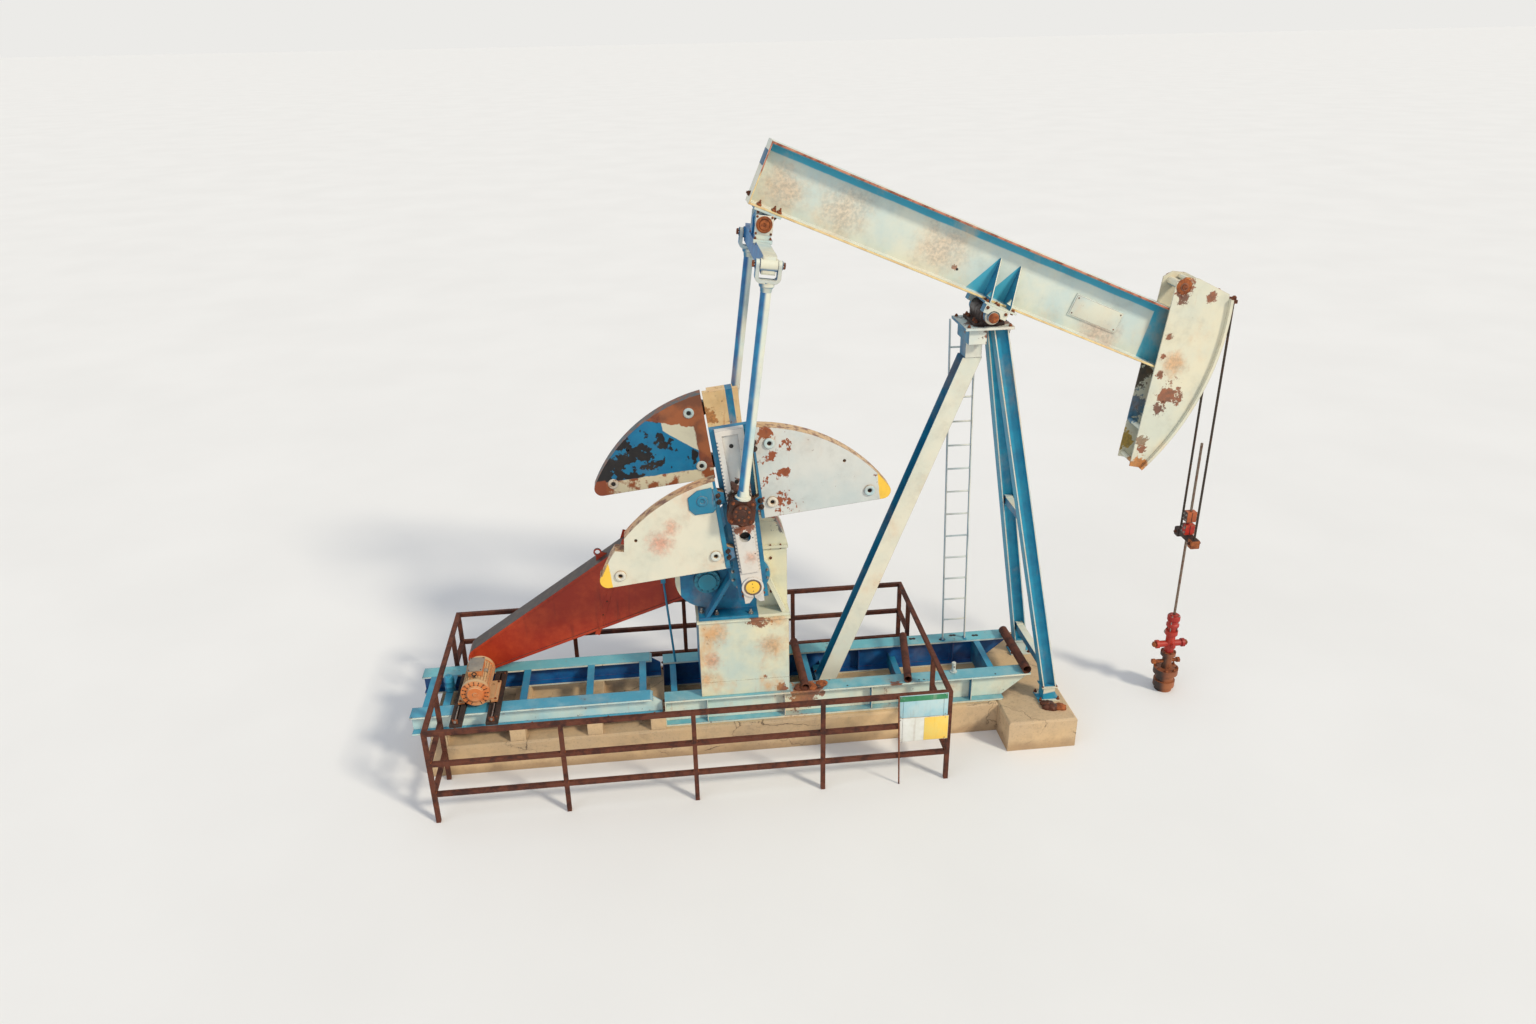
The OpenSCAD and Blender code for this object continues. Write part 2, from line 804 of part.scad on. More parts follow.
// Centre bearing housing on the post
module saddle_bearing() {
    color(rust)
        difference() {
            union() {
                bar_y(0, saddle_z, housing_r, -220, 220);
                block([-housing_r, -220, cap_top], [housing_r, 220, saddle_z]);
                block([-170, -220, cap_top], [170, 220, cap_top + 36]);
            }
            bar_y(0, saddle_z, trunnion_r + run_fit, -300, 300);
        }
}

// Ladder from the far skid beam up to the overhang of the post's top plate
module ladder() {
    foot = [10, skid_inner + 65, skid_top];
    head = [-160, cap_half + 22 + seat, cap_under - seat];
    rungs = floor(norm(head - foot) / rung_step - 0.3);
    step = (head - foot) / norm(head - foot);
    color(pale_blue)
        between(skid_top, head[2]) {
            for (side = [-1, 1])
                strut(foot + [side * ladder_w / 2, 0, 0] - step * 60, head + [side * ladder_w / 2, 0, 0] + step * 60)
                    square([12, 44], center = true);
            for (i = [1:rungs]) {
                at = foot + step * rung_step * i;
                bar_x(at[1], at[2], 11, at[0] - ladder_w / 2, at[0] + ladder_w / 2);
            }
        }
}

// Tube of radius r that lies on the skid from point a to point b, seen from above
module lying_pipe(a, b, r) {
    z = skid_top + r + seat;
    strut([a[0], a[1], z], [b[0], b[1], z])
        ring(r, 6);
}

// Loose tubes left lying across the skid beams
module cross_pipes() {
    color(rust) {
        lying_pipe([ped_front + 190, skid_outer], [ped_front + 190, -skid_outer], 50);
        lying_pipe([-640, skid_outer - 50], [-810, -skid_outer], 48);
        lying_pipe([skid_front - 58, skid_y], [skid_front - 58, -skid_outer], 55);
    }
}

// Uprights of the railing: five on each long side and two at each end
module rail_posts() {
    top = rail_h - 2 * rail_half;
    stub = found_half + 60;
    color(rust) {
        for (i = [0:4], y = [rail_near_y, rail_far_y])
            block([rail_rear_x + i * rail_bay - rail_half, y - rail_half, 0],
                [rail_rear_x + i * rail_bay + rail_half, y + rail_half, top]);
        for (x = [rail_rear_x, rail_rear_x + 4 * rail_bay], y = [-stub, stub])
            block([x - rail_half, y - rail_half, 0], [x + rail_half, y + rail_half, top]);
    }
}

// Rails of one long side: the top one over the posts, the lower ones between them
module rail_side(y) {
    block([rail_rear_x - rail_half, y - rail_half, rail_h - 2 * rail_half],
        [rail_rear_x + 4 * rail_bay + rail_half, y + rail_half, rail_h]);
    for (level = [1:2], i = [0:3])
        block([rail_rear_x + i * rail_bay + rail_half, y - rail_half, rail_h * level / 3 - 2 * rail_half],
            [rail_rear_x + (i + 1) * rail_bay - rail_half, y + rail_half, rail_h * level / 3]);
}

module rail_near() {
    color(rust)
        rail_side(rail_near_y);
}

module rail_far() {
    color(rust)
        rail_side(rail_far_y);
}

// Cross rails at both ends, with the lower ones only outside the skid
module rail_ends() {
    stub = found_half + 60;
    color(rust)
        for (x = [rail_rear_x, rail_rear_x + 4 * rail_bay]) {
            block([x - rail_half, rail_near_y + rail_half, rail_h - 2 * rail_half],
                [x + rail_half, rail_far_y - rail_half, rail_h]);
            for (level = [1:2]) {
                z = rail_h * level / 3;
                block([x - rail_half, rail_near_y + rail_half, z - 2 * rail_half],
                    [x + rail_half, -stub - rail_half, z]);
                block([x - rail_half, stub + rail_half, z - 2 * rail_half],
                    [x + rail_half, rail_far_y - rail_half, z]);
            }
        }
}

// Casing stub with its collar and tubing head, standing on the ground
module casing_head() {
    color(rust)
        difference() {
            translate([well_x, 0, 0]) {
                cylinder(h = 330, r = casing_r);
                translate([0, 0, 60])
                    cylinder(h = 90, r = casing_r + 25);
                translate([0, 0, 250])
                    cylinder(h = 80, r = casing_r + 45);
                translate([0, 0, 330])
                    cylinder(h = 220, r = 62);
                translate([0, 0, 520])
                    cylinder(h = 50, r = 95);
            }
            translate([well_x, 0, 40])
                cylinder(h = far_out, r = rod_r + 8);
        }
}

// Pumping tee with its side fittings and the stuffing box on top
module stuffing_box() {
    tee_z = 690;
    color([0.62, 0.08, 0.06])
        difference() {
            union() {
                translate([well_x, 0, 570])
                    cylinder(h = 260, r = 58);
                bar_x(0, tee_z, 42, well_x - 190, well_x + 190);
                bar_x(0, tee_z, 56, well_x - 190, well_x - 150);
                bar_x(0, tee_z, 56, well_x + 150, well_x + 190);
                translate([well_x, 0, 830])
                    cylinder(h = 60, r = 78);
                translate([well_x, 0, 890])
                    cylinder(h = stuffing_top - 890, r = 52);
                translate([well_x, 0, stuffing_top - 60])
                    cylinder(h = 45, r = 72);
            }
            translate([well_x, 0, 500])
                cylinder(h = stuffing_top, r = rod_r + run_fit);
        }
}

// The two falls of the bridle, from the horse head to the carrier bar
module bridle_ropes() {
    color([0.10, 0.08, 0.07])
        both_sides()
            translate([well_x, rope_y, carrier_z + carrier_h + seat])
                cylinder(h = saddle_z - carrier_z - carrier_h - 2 * seat, r = rope_r);
}

module slow_shaft() {
    color([0.55, 0.45, 0.35])
        bar_y(shaft_x, shaft_z, shaft_r, -crank_out + 10, crank_out - 10);
}

// Places what is drawn in a crank's own frame, with the crank along Z
module on_crank() {
    translate([shaft_x, 0, shaft_z])
        rotate([0, -crank_lean, 0])
            children();
}

// Outline of the toothed body, with rack teeth cut along both edges
module toothed_outline() {
    first = 210;
    teeth = floor((crank_tip - first - 60) / tooth_pitch);
    difference() {
        polygon([[-crank_half(-crank_tail) + crank_ledge, -crank_tail],
            [crank_half(-crank_tail) - crank_ledge, -crank_tail],
            [crank_half(crank_tip) - crank_ledge, crank_tip],
            [-crank_half(crank_tip) + crank_ledge, crank_tip]]);
        for (i = [0:teeth - 1])
            for (side = [-1, 1]) {
                v = first + i * tooth_pitch;
                edge = crank_half(v) - crank_ledge;
                polygon([[side * (edge + 5), v - tooth_pitch * 0.18], [side * (edge - tooth_depth), v],
                    [side * (edge - tooth_depth), v + tooth_pitch * 0.25],
                    [side * (edge + 5), v + tooth_pitch * 0.43]]);
            }
    }
}

// Crank on the near side, in its own frame: flange, toothed body, pocket and pin holes
module crank() {
    difference() {
        union() {
            across(-crank_face, -crank_in)
                polygon([[-crank_half(-crank_tail), -crank_tail], [crank_half(-crank_tail), -crank_tail],
                    [crank_half(crank_tip), crank_tip], [-crank_half(crank_tip), crank_tip]]);
            across(-crank_out + 20, -crank_face)
                toothed_outline();
            bar_y(0, 0, shaft_r + 25, -crank_out + 5, -crank_out + 20);
            across(-crank_out, -crank_out + 20)
                polygon([[-95, shaft_r + 90], [95, shaft_r + 90], [115, crank_throw + 110], [-115, crank_throw + 110]]);
        }
        across(-crank_out - 1, -crank_out + 45)
            polygon([[-70, crank_throw + 170], [70, crank_throw + 170], [85, crank_tip - 60], [-85, crank_tip - 60]]);
        bar_y(0, 0, shaft_r + run_fit, -crank_out - 1, -crank_in + 1);
        for (v = wrist_holes)
            bar_y(0, v, wrist_hole_r, -crank_out - 1, -crank_in + 1);
        across(-crank_out - 1, -crank_in + 1)
            polygon([[-60, -crank_tail - 1], [60, -crank_tail - 1], [0, -crank_tail + 70]]);
        across(-crank_out - 1, -crank_in + 1)
            polygon([[-6, -crank_tail], [6, -crank_tail], [6, -shaft_r + 10], [-6, -shaft_r + 10]]);
    }
}

module crank_near() {
    color(pale_blue)
        on_crank()
            crank();
}

module crank_far() {
    color(pale_blue)
        mirror([0, 1, 0])
            on_crank()
                crank();
}

// Outline of a counterweight: flat lower edge, round rim and round tip
module weight_outline() {
    inner = crank_half(weight_high) + weight_gap;
    tip_u = sqrt(pow(weight_rim_r - weight_tip_r, 2) - pow(weight_drop + weight_tip_r, 2));
    tip_angle = atan2(weight_drop + weight_tip_r, tip_u);
    top_angle = acos((inner + 20) / weight_rim_r);
    polygon(concat([[inner, 0]], arc([tip_u, weight_tip_r], weight_tip_r, -90, tip_angle, 10),
        arc([0, -weight_drop], weight_rim_r, tip_angle, top_angle, 30),
        [[inner + 20, weight_rim_r - weight_drop - 60]]));
}

// Counterweight in the near crank's frame, on the +u side, at the place v0 along the crank
module weight(v0, notched) {
    bosses = [[weight_tip_r + 1330, 130], [350, 180], [400, 860]];
    difference() {
        union() {
            across(-weight_in - weight_t, -weight_in)
                translate([0, v0])
                    weight_outline();
            for (b = bosses)
                bar_y(b[0], v0 + b[1], weight_boss_r, -weight_in - weight_t - weight_boss_h, -weight_in);
            for (v = [v0 + 120, v0 + 800])
                across(-weight_in - weight_t, -crank_face - seat)
                    polygon([[crank_half(v) - crank_ledge + 18, v], [crank_half(v) + weight_gap + 40, v - 40],
                        [crank_half(v) + weight_gap + 40, v + 160], [crank_half(v) - crank_ledge + 18, v + 120]]);
        }
        for (b = bosses)
            bar_y(b[0], v0 + b[1], 24, -weight_in - weight_t - weight_boss_h - 1,
                -weight_in - weight_t - weight_boss_h + 30);
        bar_y(1180, v0 + 520, 18, -far_out, far_out);
        if (notched)
            across(-far_out, far_out)
                translate([0, v0])
                    polygon([[1295, 600], [1330, 410], [1440, 440], [1620, 150], [1800, 150], [1800, 600]]);
    }
}

module weight_near_front() {
    color(pale_blue)
        on_crank()
            weight(weight_high, false);
}

module weight_near_rear() {
    color(pale_blue)
        on_crank()
            mirror([1, 0, 0])
                weight(weight_low, true);
}

module weight_far_front() {
    color(deep_blue)
        mirror([0, 1, 0])
            on_crank()
                weight(weight_low, false);
}

module weight_far_rear() {
    color(deep_blue)
        mirror([0, 1, 0])
            on_crank()
                mirror([1, 0, 0])
                    weight(weight_high, false);
}

// Places what is drawn with the beam level, its saddle bearing at the frame's own origin
module on_beam() {
    translate([0, 0, saddle_z])
        rotate([0, beam_pitch, 0])
            children();
}

// Rolled beam with its end plates and web stiffeners
module walking_beam() {
    color(pale_blue)
        on_beam()
            difference() {
                union() {
                    along(beam_tail, beam_head)
                        translate([0, beam_rise])
                            i_section(beam_flange_w, beam_depth, beam_flange_t, beam_web_t);
                    block([beam_tail - 16, -beam_flange_w / 2, beam_rise],
                        [beam_tail, beam_flange_w / 2, beam_rise + beam_depth]);
                    for (x = [-tail_reach, -180, 360, 1750])
                        block([x - 7, -beam_flange_w / 2 + 12, beam_rise],
                            [x + 7, beam_flange_w / 2 - 12, beam_rise + beam_depth]);
                }
                bar_y(-300, beam_rise + 110, 26, -60, 60);
            }
}

// Side view of the horse head in the beam's frame
module head_outline(grow) {
    polygon(concat([face_r * head_toe], arc([0, 0], face_r + grow, head_tip_angle, head_top_angle, 32),
        face_r * head_crown));
}

// Horse head: two side plates, the curved face with its rope tracks, and stiff bars between
module horse_head() {
    lug_end = max(beam_head, face_r * head_lug) - 10;
    color(pale_blue)
        on_beam() {
            both_sides() {
                across(-head_half, -head_half + head_plate_t)
                    head_outline(-16);
                across(-head_face_half, -rope_y + 3 * rope_r)
                    polygon(concat(arc([0, 0], head_r, head_tip_angle, head_top_angle, 32),
                        arc([0, 0], face_r, head_top_angle, head_tip_angle, 32)));
            }
            across(-head_face_half, head_face_half)
                polygon(concat(arc([0, 0], face_r, head_tip_angle, head_top_angle, 32),
                    arc([0, 0], face_r - 16, head_top_angle, head_tip_angle, 32)));
            for (place = face_r * head_bars)
                bar_y(place[0], place[1], 28, -head_half + 2, head_half - 2);
            bar_y(face_r * head_pin[0], face_r * head_pin[1], 45, -head_half - 12, head_half + 12);
            both_sides() {
                block([beam_head - 270, -head_half + head_plate_t, beam_rise + beam_depth - beam_flange_t],
                    [lug_end, -beam_flange_w / 2 - seat, beam_rise + beam_depth]);
                block([beam_head - 80, -head_half + head_plate_t, beam_rise],
                    [lug_end, -beam_flange_w / 2 - seat, beam_rise + beam_flange_t]);
            }
        }
}

// Gusset between the saddle plate's edge, the beam's lower flange and its web, with a cut-out
module gusset_outline() {
    flange_y = beam_flange_w / 2 + seat;
    web_y = beam_web_t / 2 + seat;
    flange_z = beam_rise + beam_flange_t + seat;
    low_y = saddle_plate_half - 10;
    difference() {
        polygon([[-low_y, beam_rise], [-flange_y, beam_rise], [-flange_y, flange_z], [-web_y, flange_z],
            [-web_y, beam_rise + 450], [-web_y - 25, beam_rise + 450], [-low_y, beam_rise + 35]]);
        polygon([[-low_y + 50, beam_rise + 45], [-105, beam_rise + 45], [-low_y + 100, beam_rise + 125]]);
    }
}

// Bearing brackets and the saddle shaft under the beam, with the gussets to its flange
module saddle_trunnion() {
    low = beam_rise - saddle_plate_t;
    inner = 235;
    outer = 345;
    color(pale_blue)
        on_beam() {
            bar_y(0, 0, trunnion_r, -outer - 10, outer + 10);
            block([-150, -saddle_plate_half, low], [240, saddle_plate_half, beam_rise]);
            both_sides() {
                difference() {
                    block([-138, -outer, 15], [138, -inner, low]);
                    bar_y(0, 0, trunnion_r + 12, -outer - 1, -outer + 40);
                }
                bar_y(0, 0, 84, -outer + 40, -inner);
                for (x = [-88, 162])
                    along(x - 6, x + 6)
                        gusset_outline();
            }
        }
}

// Bearing bracket under the beam's tail, with its pin
module tail_bracket() {
    color(pale_blue)
        on_beam()
            translate([-tail_reach, 0, 0]) {
                block([-150, -150, beam_rise - 25], [150, 150, beam_rise]);
                across(-90, 90)
                    polygon([[-120, beam_rise - 25], [-tail_pin_r - 25, 0], [tail_pin_r + 25, 0],
                        [120, beam_rise - 25]]);
                bar_y(0, 0, tail_pin_r + 25, -90, 90);
                bar_y(0, 0, tail_pin_r, -215, 215);
            }
}

// Bar across the top of the rope tracks, in which both falls of the bridle end
module rope_hanger() {
    color(rust)
        block([head_r + seat, -head_face_half, saddle_z],
            [well_x + rope_r + 14, head_face_half, saddle_z + 38]);
}

// Places what is drawn with the pitman upright, its tail bearing at the frame's own origin
module on_pitman() {
    translate(tail_at)
        rotate([0, atan2(tail_at[0] - wrist_at[0], tail_at[2] - wrist_at[2]), 0])
            children();
}

// Equalizer beam with its two bearing housings on the tail pin
module equalizer() {
    color(pale_blue)
        on_pitman()
            difference() {
                union() {
                    both_sides() {
                        bar_y(0, 0, 88, -200, -100);
                        block([-85, -200, yoke_z + 60], [85, -100, 0]);
                        bar_x(-pitman_y, yoke_z, 62, -yoke_w / 2 + yoke_t + 5, yoke_w / 2 - yoke_t - 5);
                    }
                    block([-equalizer_w / 2, -pitman_y - 30, yoke_z - equalizer_h / 2 + 10],
                        [equalizer_w / 2, pitman_y + 30, yoke_z + equalizer_h / 2 - 10]);
                    block([-100, -230, yoke_z + 80], [100, 230, yoke_z + 120]);
                }
                bar_y(0, 0, tail_pin_r + run_fit, -300, 300);
                both_sides()
                    bar_x(-pitman_y, yoke_z, 30 + run_fit, -300, 300);
            }
}

// Side view of a yoke: a bent bar, open at the top
module yoke_outline() {
    w = yoke_w / 2;
    bend = 65;
    polygon(concat([[-w, 0]], arc([-w + bend, -yoke_h + bend], bend, 180, 270, 8),
        arc([w - bend, -yoke_h + bend], bend, 270, 360, 8), [[w, 0], [w - yoke_t, 0]],
        arc([w - bend, -yoke_h + bend], bend - yoke_t, 360, 270, 8),
        arc([-w + bend, -yoke_h + bend], bend - yoke_t, 270, 180, 8), [[-w + yoke_t, 0]]));
}

// Pitman tubes with the yokes and cross pins that hang them from the equalizer
module pitman_rods() {
    foot = -pitman_len + wrist_size / 2;
    color(deep_blue)
        on_pitman()
            both_sides()
                translate([0, -pitman_y, 0]) {
                    translate([0, 0, yoke_z])
                        across(-50, 50)
                            yoke_outline();
                    for (side = [0, 1])
                        mirror([side, 0, 0])
                            bar_x(0, yoke_z, 50, yoke_w / 2 - yoke_t, yoke_w / 2);
                    bar_x(0, yoke_z, 30, -yoke_w / 2 - 18, yoke_w / 2 + 18);
                    translate([0, 0, foot])
                        cylinder(h = yoke_z - yoke_h + 10 - foot, r = pitman_r);
                }
}

// Wrist bearing housings with their caps and the inner ends of the wrist pins
module wrist_bearings() {
    inner = crank_out + 12;
    outer = 970;
    h = wrist_size / 2;
    color(rust)
        on_pitman()
            both_sides()
                translate([0, 0, -pitman_len]) {
                    across(-outer + 25, -inner)
                        polygon([[-h + 40, -h], [h - 40, -h], [h, -h + 40], [h, h - 40], [h - 40, h],
                            [-h + 40, h], [-h, h - 40], [-h, -h + 40]]);
                    bar_y(0, 0, 95, -outer, -outer + 25);
                    bar_y(0, 0, 58, -inner, -crank_out - 6);
                }
}

module carrier_bar() {
    color([0.25, 0.12, 0.08])
        difference() {
            block([well_x - 45, -rope_y - 45, carrier_z], [well_x + 45, rope_y + 45, carrier_z + carrier_h]);
            translate([well_x, 0, carrier_z - 1])
                cylinder(h = carrier_h + 2, r = rod_r + run_fit);
        }
}

// Clamps that hold the polished rod on the carrier bar
module rod_clamps() {
    color([0.75, 0.20, 0.10])
        difference() {
            union() {
                for (z = [carrier_z + carrier_h, carrier_z + carrier_h + 170])
                    block([well_x - 60, -45, z], [well_x + 60, 45, z + 130]);
                translate([well_x, 0, carrier_z + carrier_h + 130])
                    cylinder(h = 40, r = 34);
            }
            translate([well_x, 0, carrier_z])
                cylinder(h = 600, r = rod_r + run_fit);
        }
}

module polished_rod() {
    color([0.45, 0.30, 0.22])
        translate([well_x, 0, 60])
            cylinder(h = rod_top - 60, r = rod_r);
}

foundation();
front_footing();
skid_beam_near();
skid_beam_far();
skid_crossmembers();
rear_skid_near();
rear_skid_far();
rear_skid_crossmembers();
rear_sleepers();
pedestal();
reducer_case();
input_cover();
motor();
motor_rails();
belt_guard();
guard_stay();
rear_leg();
front_leg_near();
front_leg_far();
post_cap();
leg_braces();
saddle_bearing();
ladder();
cross_pipes();
rail_posts();
rail_near();
rail_far();
rail_ends();
casing_head();
stuffing_box();
bridle_ropes();
slow_shaft();
crank_near();
crank_far();
weight_near_front();
weight_near_rear();
weight_far_front();
weight_far_rear();
walking_beam();
horse_head();
saddle_trunnion();
tail_bracket();
rope_hanger();
equalizer();
pitman_rods();
wrist_bearings();
carrier_bar();
rod_clamps();
polished_rod();
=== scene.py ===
"""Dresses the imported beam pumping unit: paint, rust, fastenings, ropes, fittings, studio and camera."""

import logging
import math
import random
from dataclasses import dataclass, field, replace
from enum import Enum
from itertools import product
from typing import Any, Optional, Sequence, Union

import bmesh
import bpy
from mathutils import Matrix, Vector


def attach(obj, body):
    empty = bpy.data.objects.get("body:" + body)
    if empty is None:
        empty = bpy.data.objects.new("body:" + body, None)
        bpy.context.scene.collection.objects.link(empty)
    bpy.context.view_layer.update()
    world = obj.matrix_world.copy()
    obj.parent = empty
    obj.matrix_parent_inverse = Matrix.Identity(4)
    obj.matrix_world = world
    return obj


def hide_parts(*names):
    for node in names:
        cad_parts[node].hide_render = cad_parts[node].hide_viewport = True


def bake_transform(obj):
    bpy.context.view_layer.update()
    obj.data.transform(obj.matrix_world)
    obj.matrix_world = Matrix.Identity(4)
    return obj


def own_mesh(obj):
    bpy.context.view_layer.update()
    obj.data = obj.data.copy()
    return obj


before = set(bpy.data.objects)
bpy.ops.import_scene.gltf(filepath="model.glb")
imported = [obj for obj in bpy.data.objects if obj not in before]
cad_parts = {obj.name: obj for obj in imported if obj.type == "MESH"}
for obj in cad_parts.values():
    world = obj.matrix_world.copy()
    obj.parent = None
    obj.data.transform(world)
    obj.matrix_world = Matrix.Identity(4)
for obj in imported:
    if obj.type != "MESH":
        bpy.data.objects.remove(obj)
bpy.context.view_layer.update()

LOG = logging.getLogger("pumping_unit")

Form = bmesh.types.BMesh
Piece = bpy.types.Object
Point = Sequence[float]
Place = tuple[float, float, float]
Rgb = tuple[int, int, int]
Spot = tuple[Place, float, Rgb]
Mark = tuple[float, float, float, Rgb]
Number = Union[float, "Shade"]

# Directions: the well is ahead, and the photographed side is the near one
UP: Place = (0.0, 0.0, 1.0)
DOWN: Place = (0.0, 0.0, -1.0)
AHEAD: Place = (1.0, 0.0, 0.0)
BACK: Place = (-1.0, 0.0, 0.0)
NEAR: Place = (0.0, -1.0, 0.0)
FAR: Place = (0.0, 1.0, 0.0)
SIDES = (-1.0, 1.0)

# Where the working bodies stand at rest, and the heights that pieces share, in metres
MM = 0.001
SHAFT = Vector((-2.70, 0.0, 2.36))
SADDLE = Vector((0.0, 0.0, 5.20))
TAIL = Vector((-2.43756, 0.0, 6.24474))
WELL_X = 2.7853
SKID_TOP = 0.76
MOTOR_SKID_TOP = 0.81
CASE_FOOT_TOP = 1.83
LEG_FOOT = (0.960, 0.550, 0.600)
LEG_HEAD = (0.138, 0.135)
LEG_RISE = 4.45
CRANK = Matrix.Translation(SHAFT) @ Matrix.Rotation(math.radians(-6.3), 4, "Y")
BEAM = Matrix.Translation(SADDLE) @ Matrix.Rotation(math.radians(23.2), 4, "Y")
PITMAN = Matrix.Translation(TAIL) @ Matrix.Rotation(math.radians(7.3827), 4, "Y")
WELL = Matrix.Translation((WELL_X, 0.0, 0.0))
HERE = Matrix.Identity(4)
FAR_SIDE = Matrix.Diagonal((1.0, -1.0, 1.0, 1.0))


class Body(Enum):
    """The moving bodies that a piece can ride on."""

    BASE = "base"
    CRANKS = "cranks"
    BEAM = "walking_beam"
    PITMANS = "pitmans"
    RODS = "rod_string"


class Slot(Enum):
    """The record's material slots."""

    PALE = "pale_paint"
    CAST = "cast_paint"
    TUBE = "rusty_tube"
    CASTING = "rusty_casting"
    STEEL = "bare_steel"
    DARK = "dark_steel"
    GUARD = "guard_red"
    MOTOR = "motor_orange"
    WELL = "wellhead_red"
    ROPE = "wire_rope"


def linear(rgb: Rgb) -> tuple[float, float, float, float]:
    """Turns a colour written as 0 to 255 into Blender's linear values.

    Args:
        rgb: Red, green and blue as they look on screen.

    Returns:
        Linear red, green and blue with an alpha of 1.
    """
    parts = [c / 255 for c in rgb]
    values = [c / 12.92 if c <= 0.04045 else ((c + 0.055) / 1.055) ** 2.4 for c in parts]
    return (values[0], values[1], values[2], 1.0)


def add_node(tree: bpy.types.NodeTree, kind: str, settings: Optional[dict[str, Any]] = None,
             inputs: Optional[dict[Any, Any]] = None, out: Any = 0) -> "Shade":
    """Adds any node to a material or to the world, its settings first.

    Args:
        tree: The nodes that it joins.
        kind: The node's type.
        settings: Its settings.
        inputs: Values or links of its sockets, by name or number.
        out: The output that is wanted.

    Returns:
        That output.
    """
    node = tree.nodes.new(kind)
    for key, value in (settings or {}).items():
        setattr(node, key, value)
    for key, value in (inputs or {}).items():
        if isinstance(value, Shade):
            tree.links.new(value.socket, node.inputs[key])
        else:
            node.inputs[key].default_value = value
    return Shade(tree, node.outputs[out])


class Shade:
    """A node's socket that can be used in sums, so that shader maths reads as an expression."""

    def __init__(self, tree: bpy.types.NodeTree, socket: bpy.types.NodeSocket) -> None:
        """Wraps one output socket of the tree."""
        self.tree = tree
        self.socket = socket

    def maths(self, operation: str, first: Number, second: Number = 0.0, clamp: bool = False) -> "Shade":
        """Adds one Math node, with its result kept between 0 and 1 where it is to be clamped."""
        settings = {"operation": operation, "use_clamp": clamp}
        return add_node(self.tree, "ShaderNodeMath", settings, {0: first, 1: second})

    def __add__(self, other: Number) -> "Shade":
        """Sum."""
        return self.maths("ADD", self, other)

    __radd__ = __add__

    def __sub__(self, other: Number) -> "Shade":
        """Difference."""
        return self.maths("SUBTRACT", self, other)

    def __rsub__(self, other: Number) -> "Shade":
        """Difference from a number."""
        return self.maths("SUBTRACT", other, self)

    def __mul__(self, other: Number) -> "Shade":
        """Product."""
        return self.maths("MULTIPLY", self, other)

    __rmul__ = __mul__

    def __truediv__(self, other: Number) -> "Shade":
        """Quotient."""
        return self.maths("DIVIDE", self, other)

    def __neg__(self) -> "Shade":
        """Negative."""
        return self.maths("MULTIPLY", self, -1.0)

    def __abs__(self) -> "Shade":
        """Size without its sign."""
        return self.maths("ABSOLUTE", self)

    def at_least(self, other: Number) -> "Shade":
        """The larger of the two."""
        return self.maths("MAXIMUM", self, other)

    def clamped(self) -> "Shade":
        """The value kept between 0 and 1."""
        return self.maths("ADD", self, 0.0, clamp=True)

    def rise(self, low: float, high: float) -> "Shade":
        """A smooth step, which starts from 0 at the low value and reaches 1 at the high one."""
        values = {"Value": self, "From Min": low, "From Max": high}
        return add_node(self.tree, "ShaderNodeMapRange", {"interpolation_type": "SMOOTHSTEP"}, values)


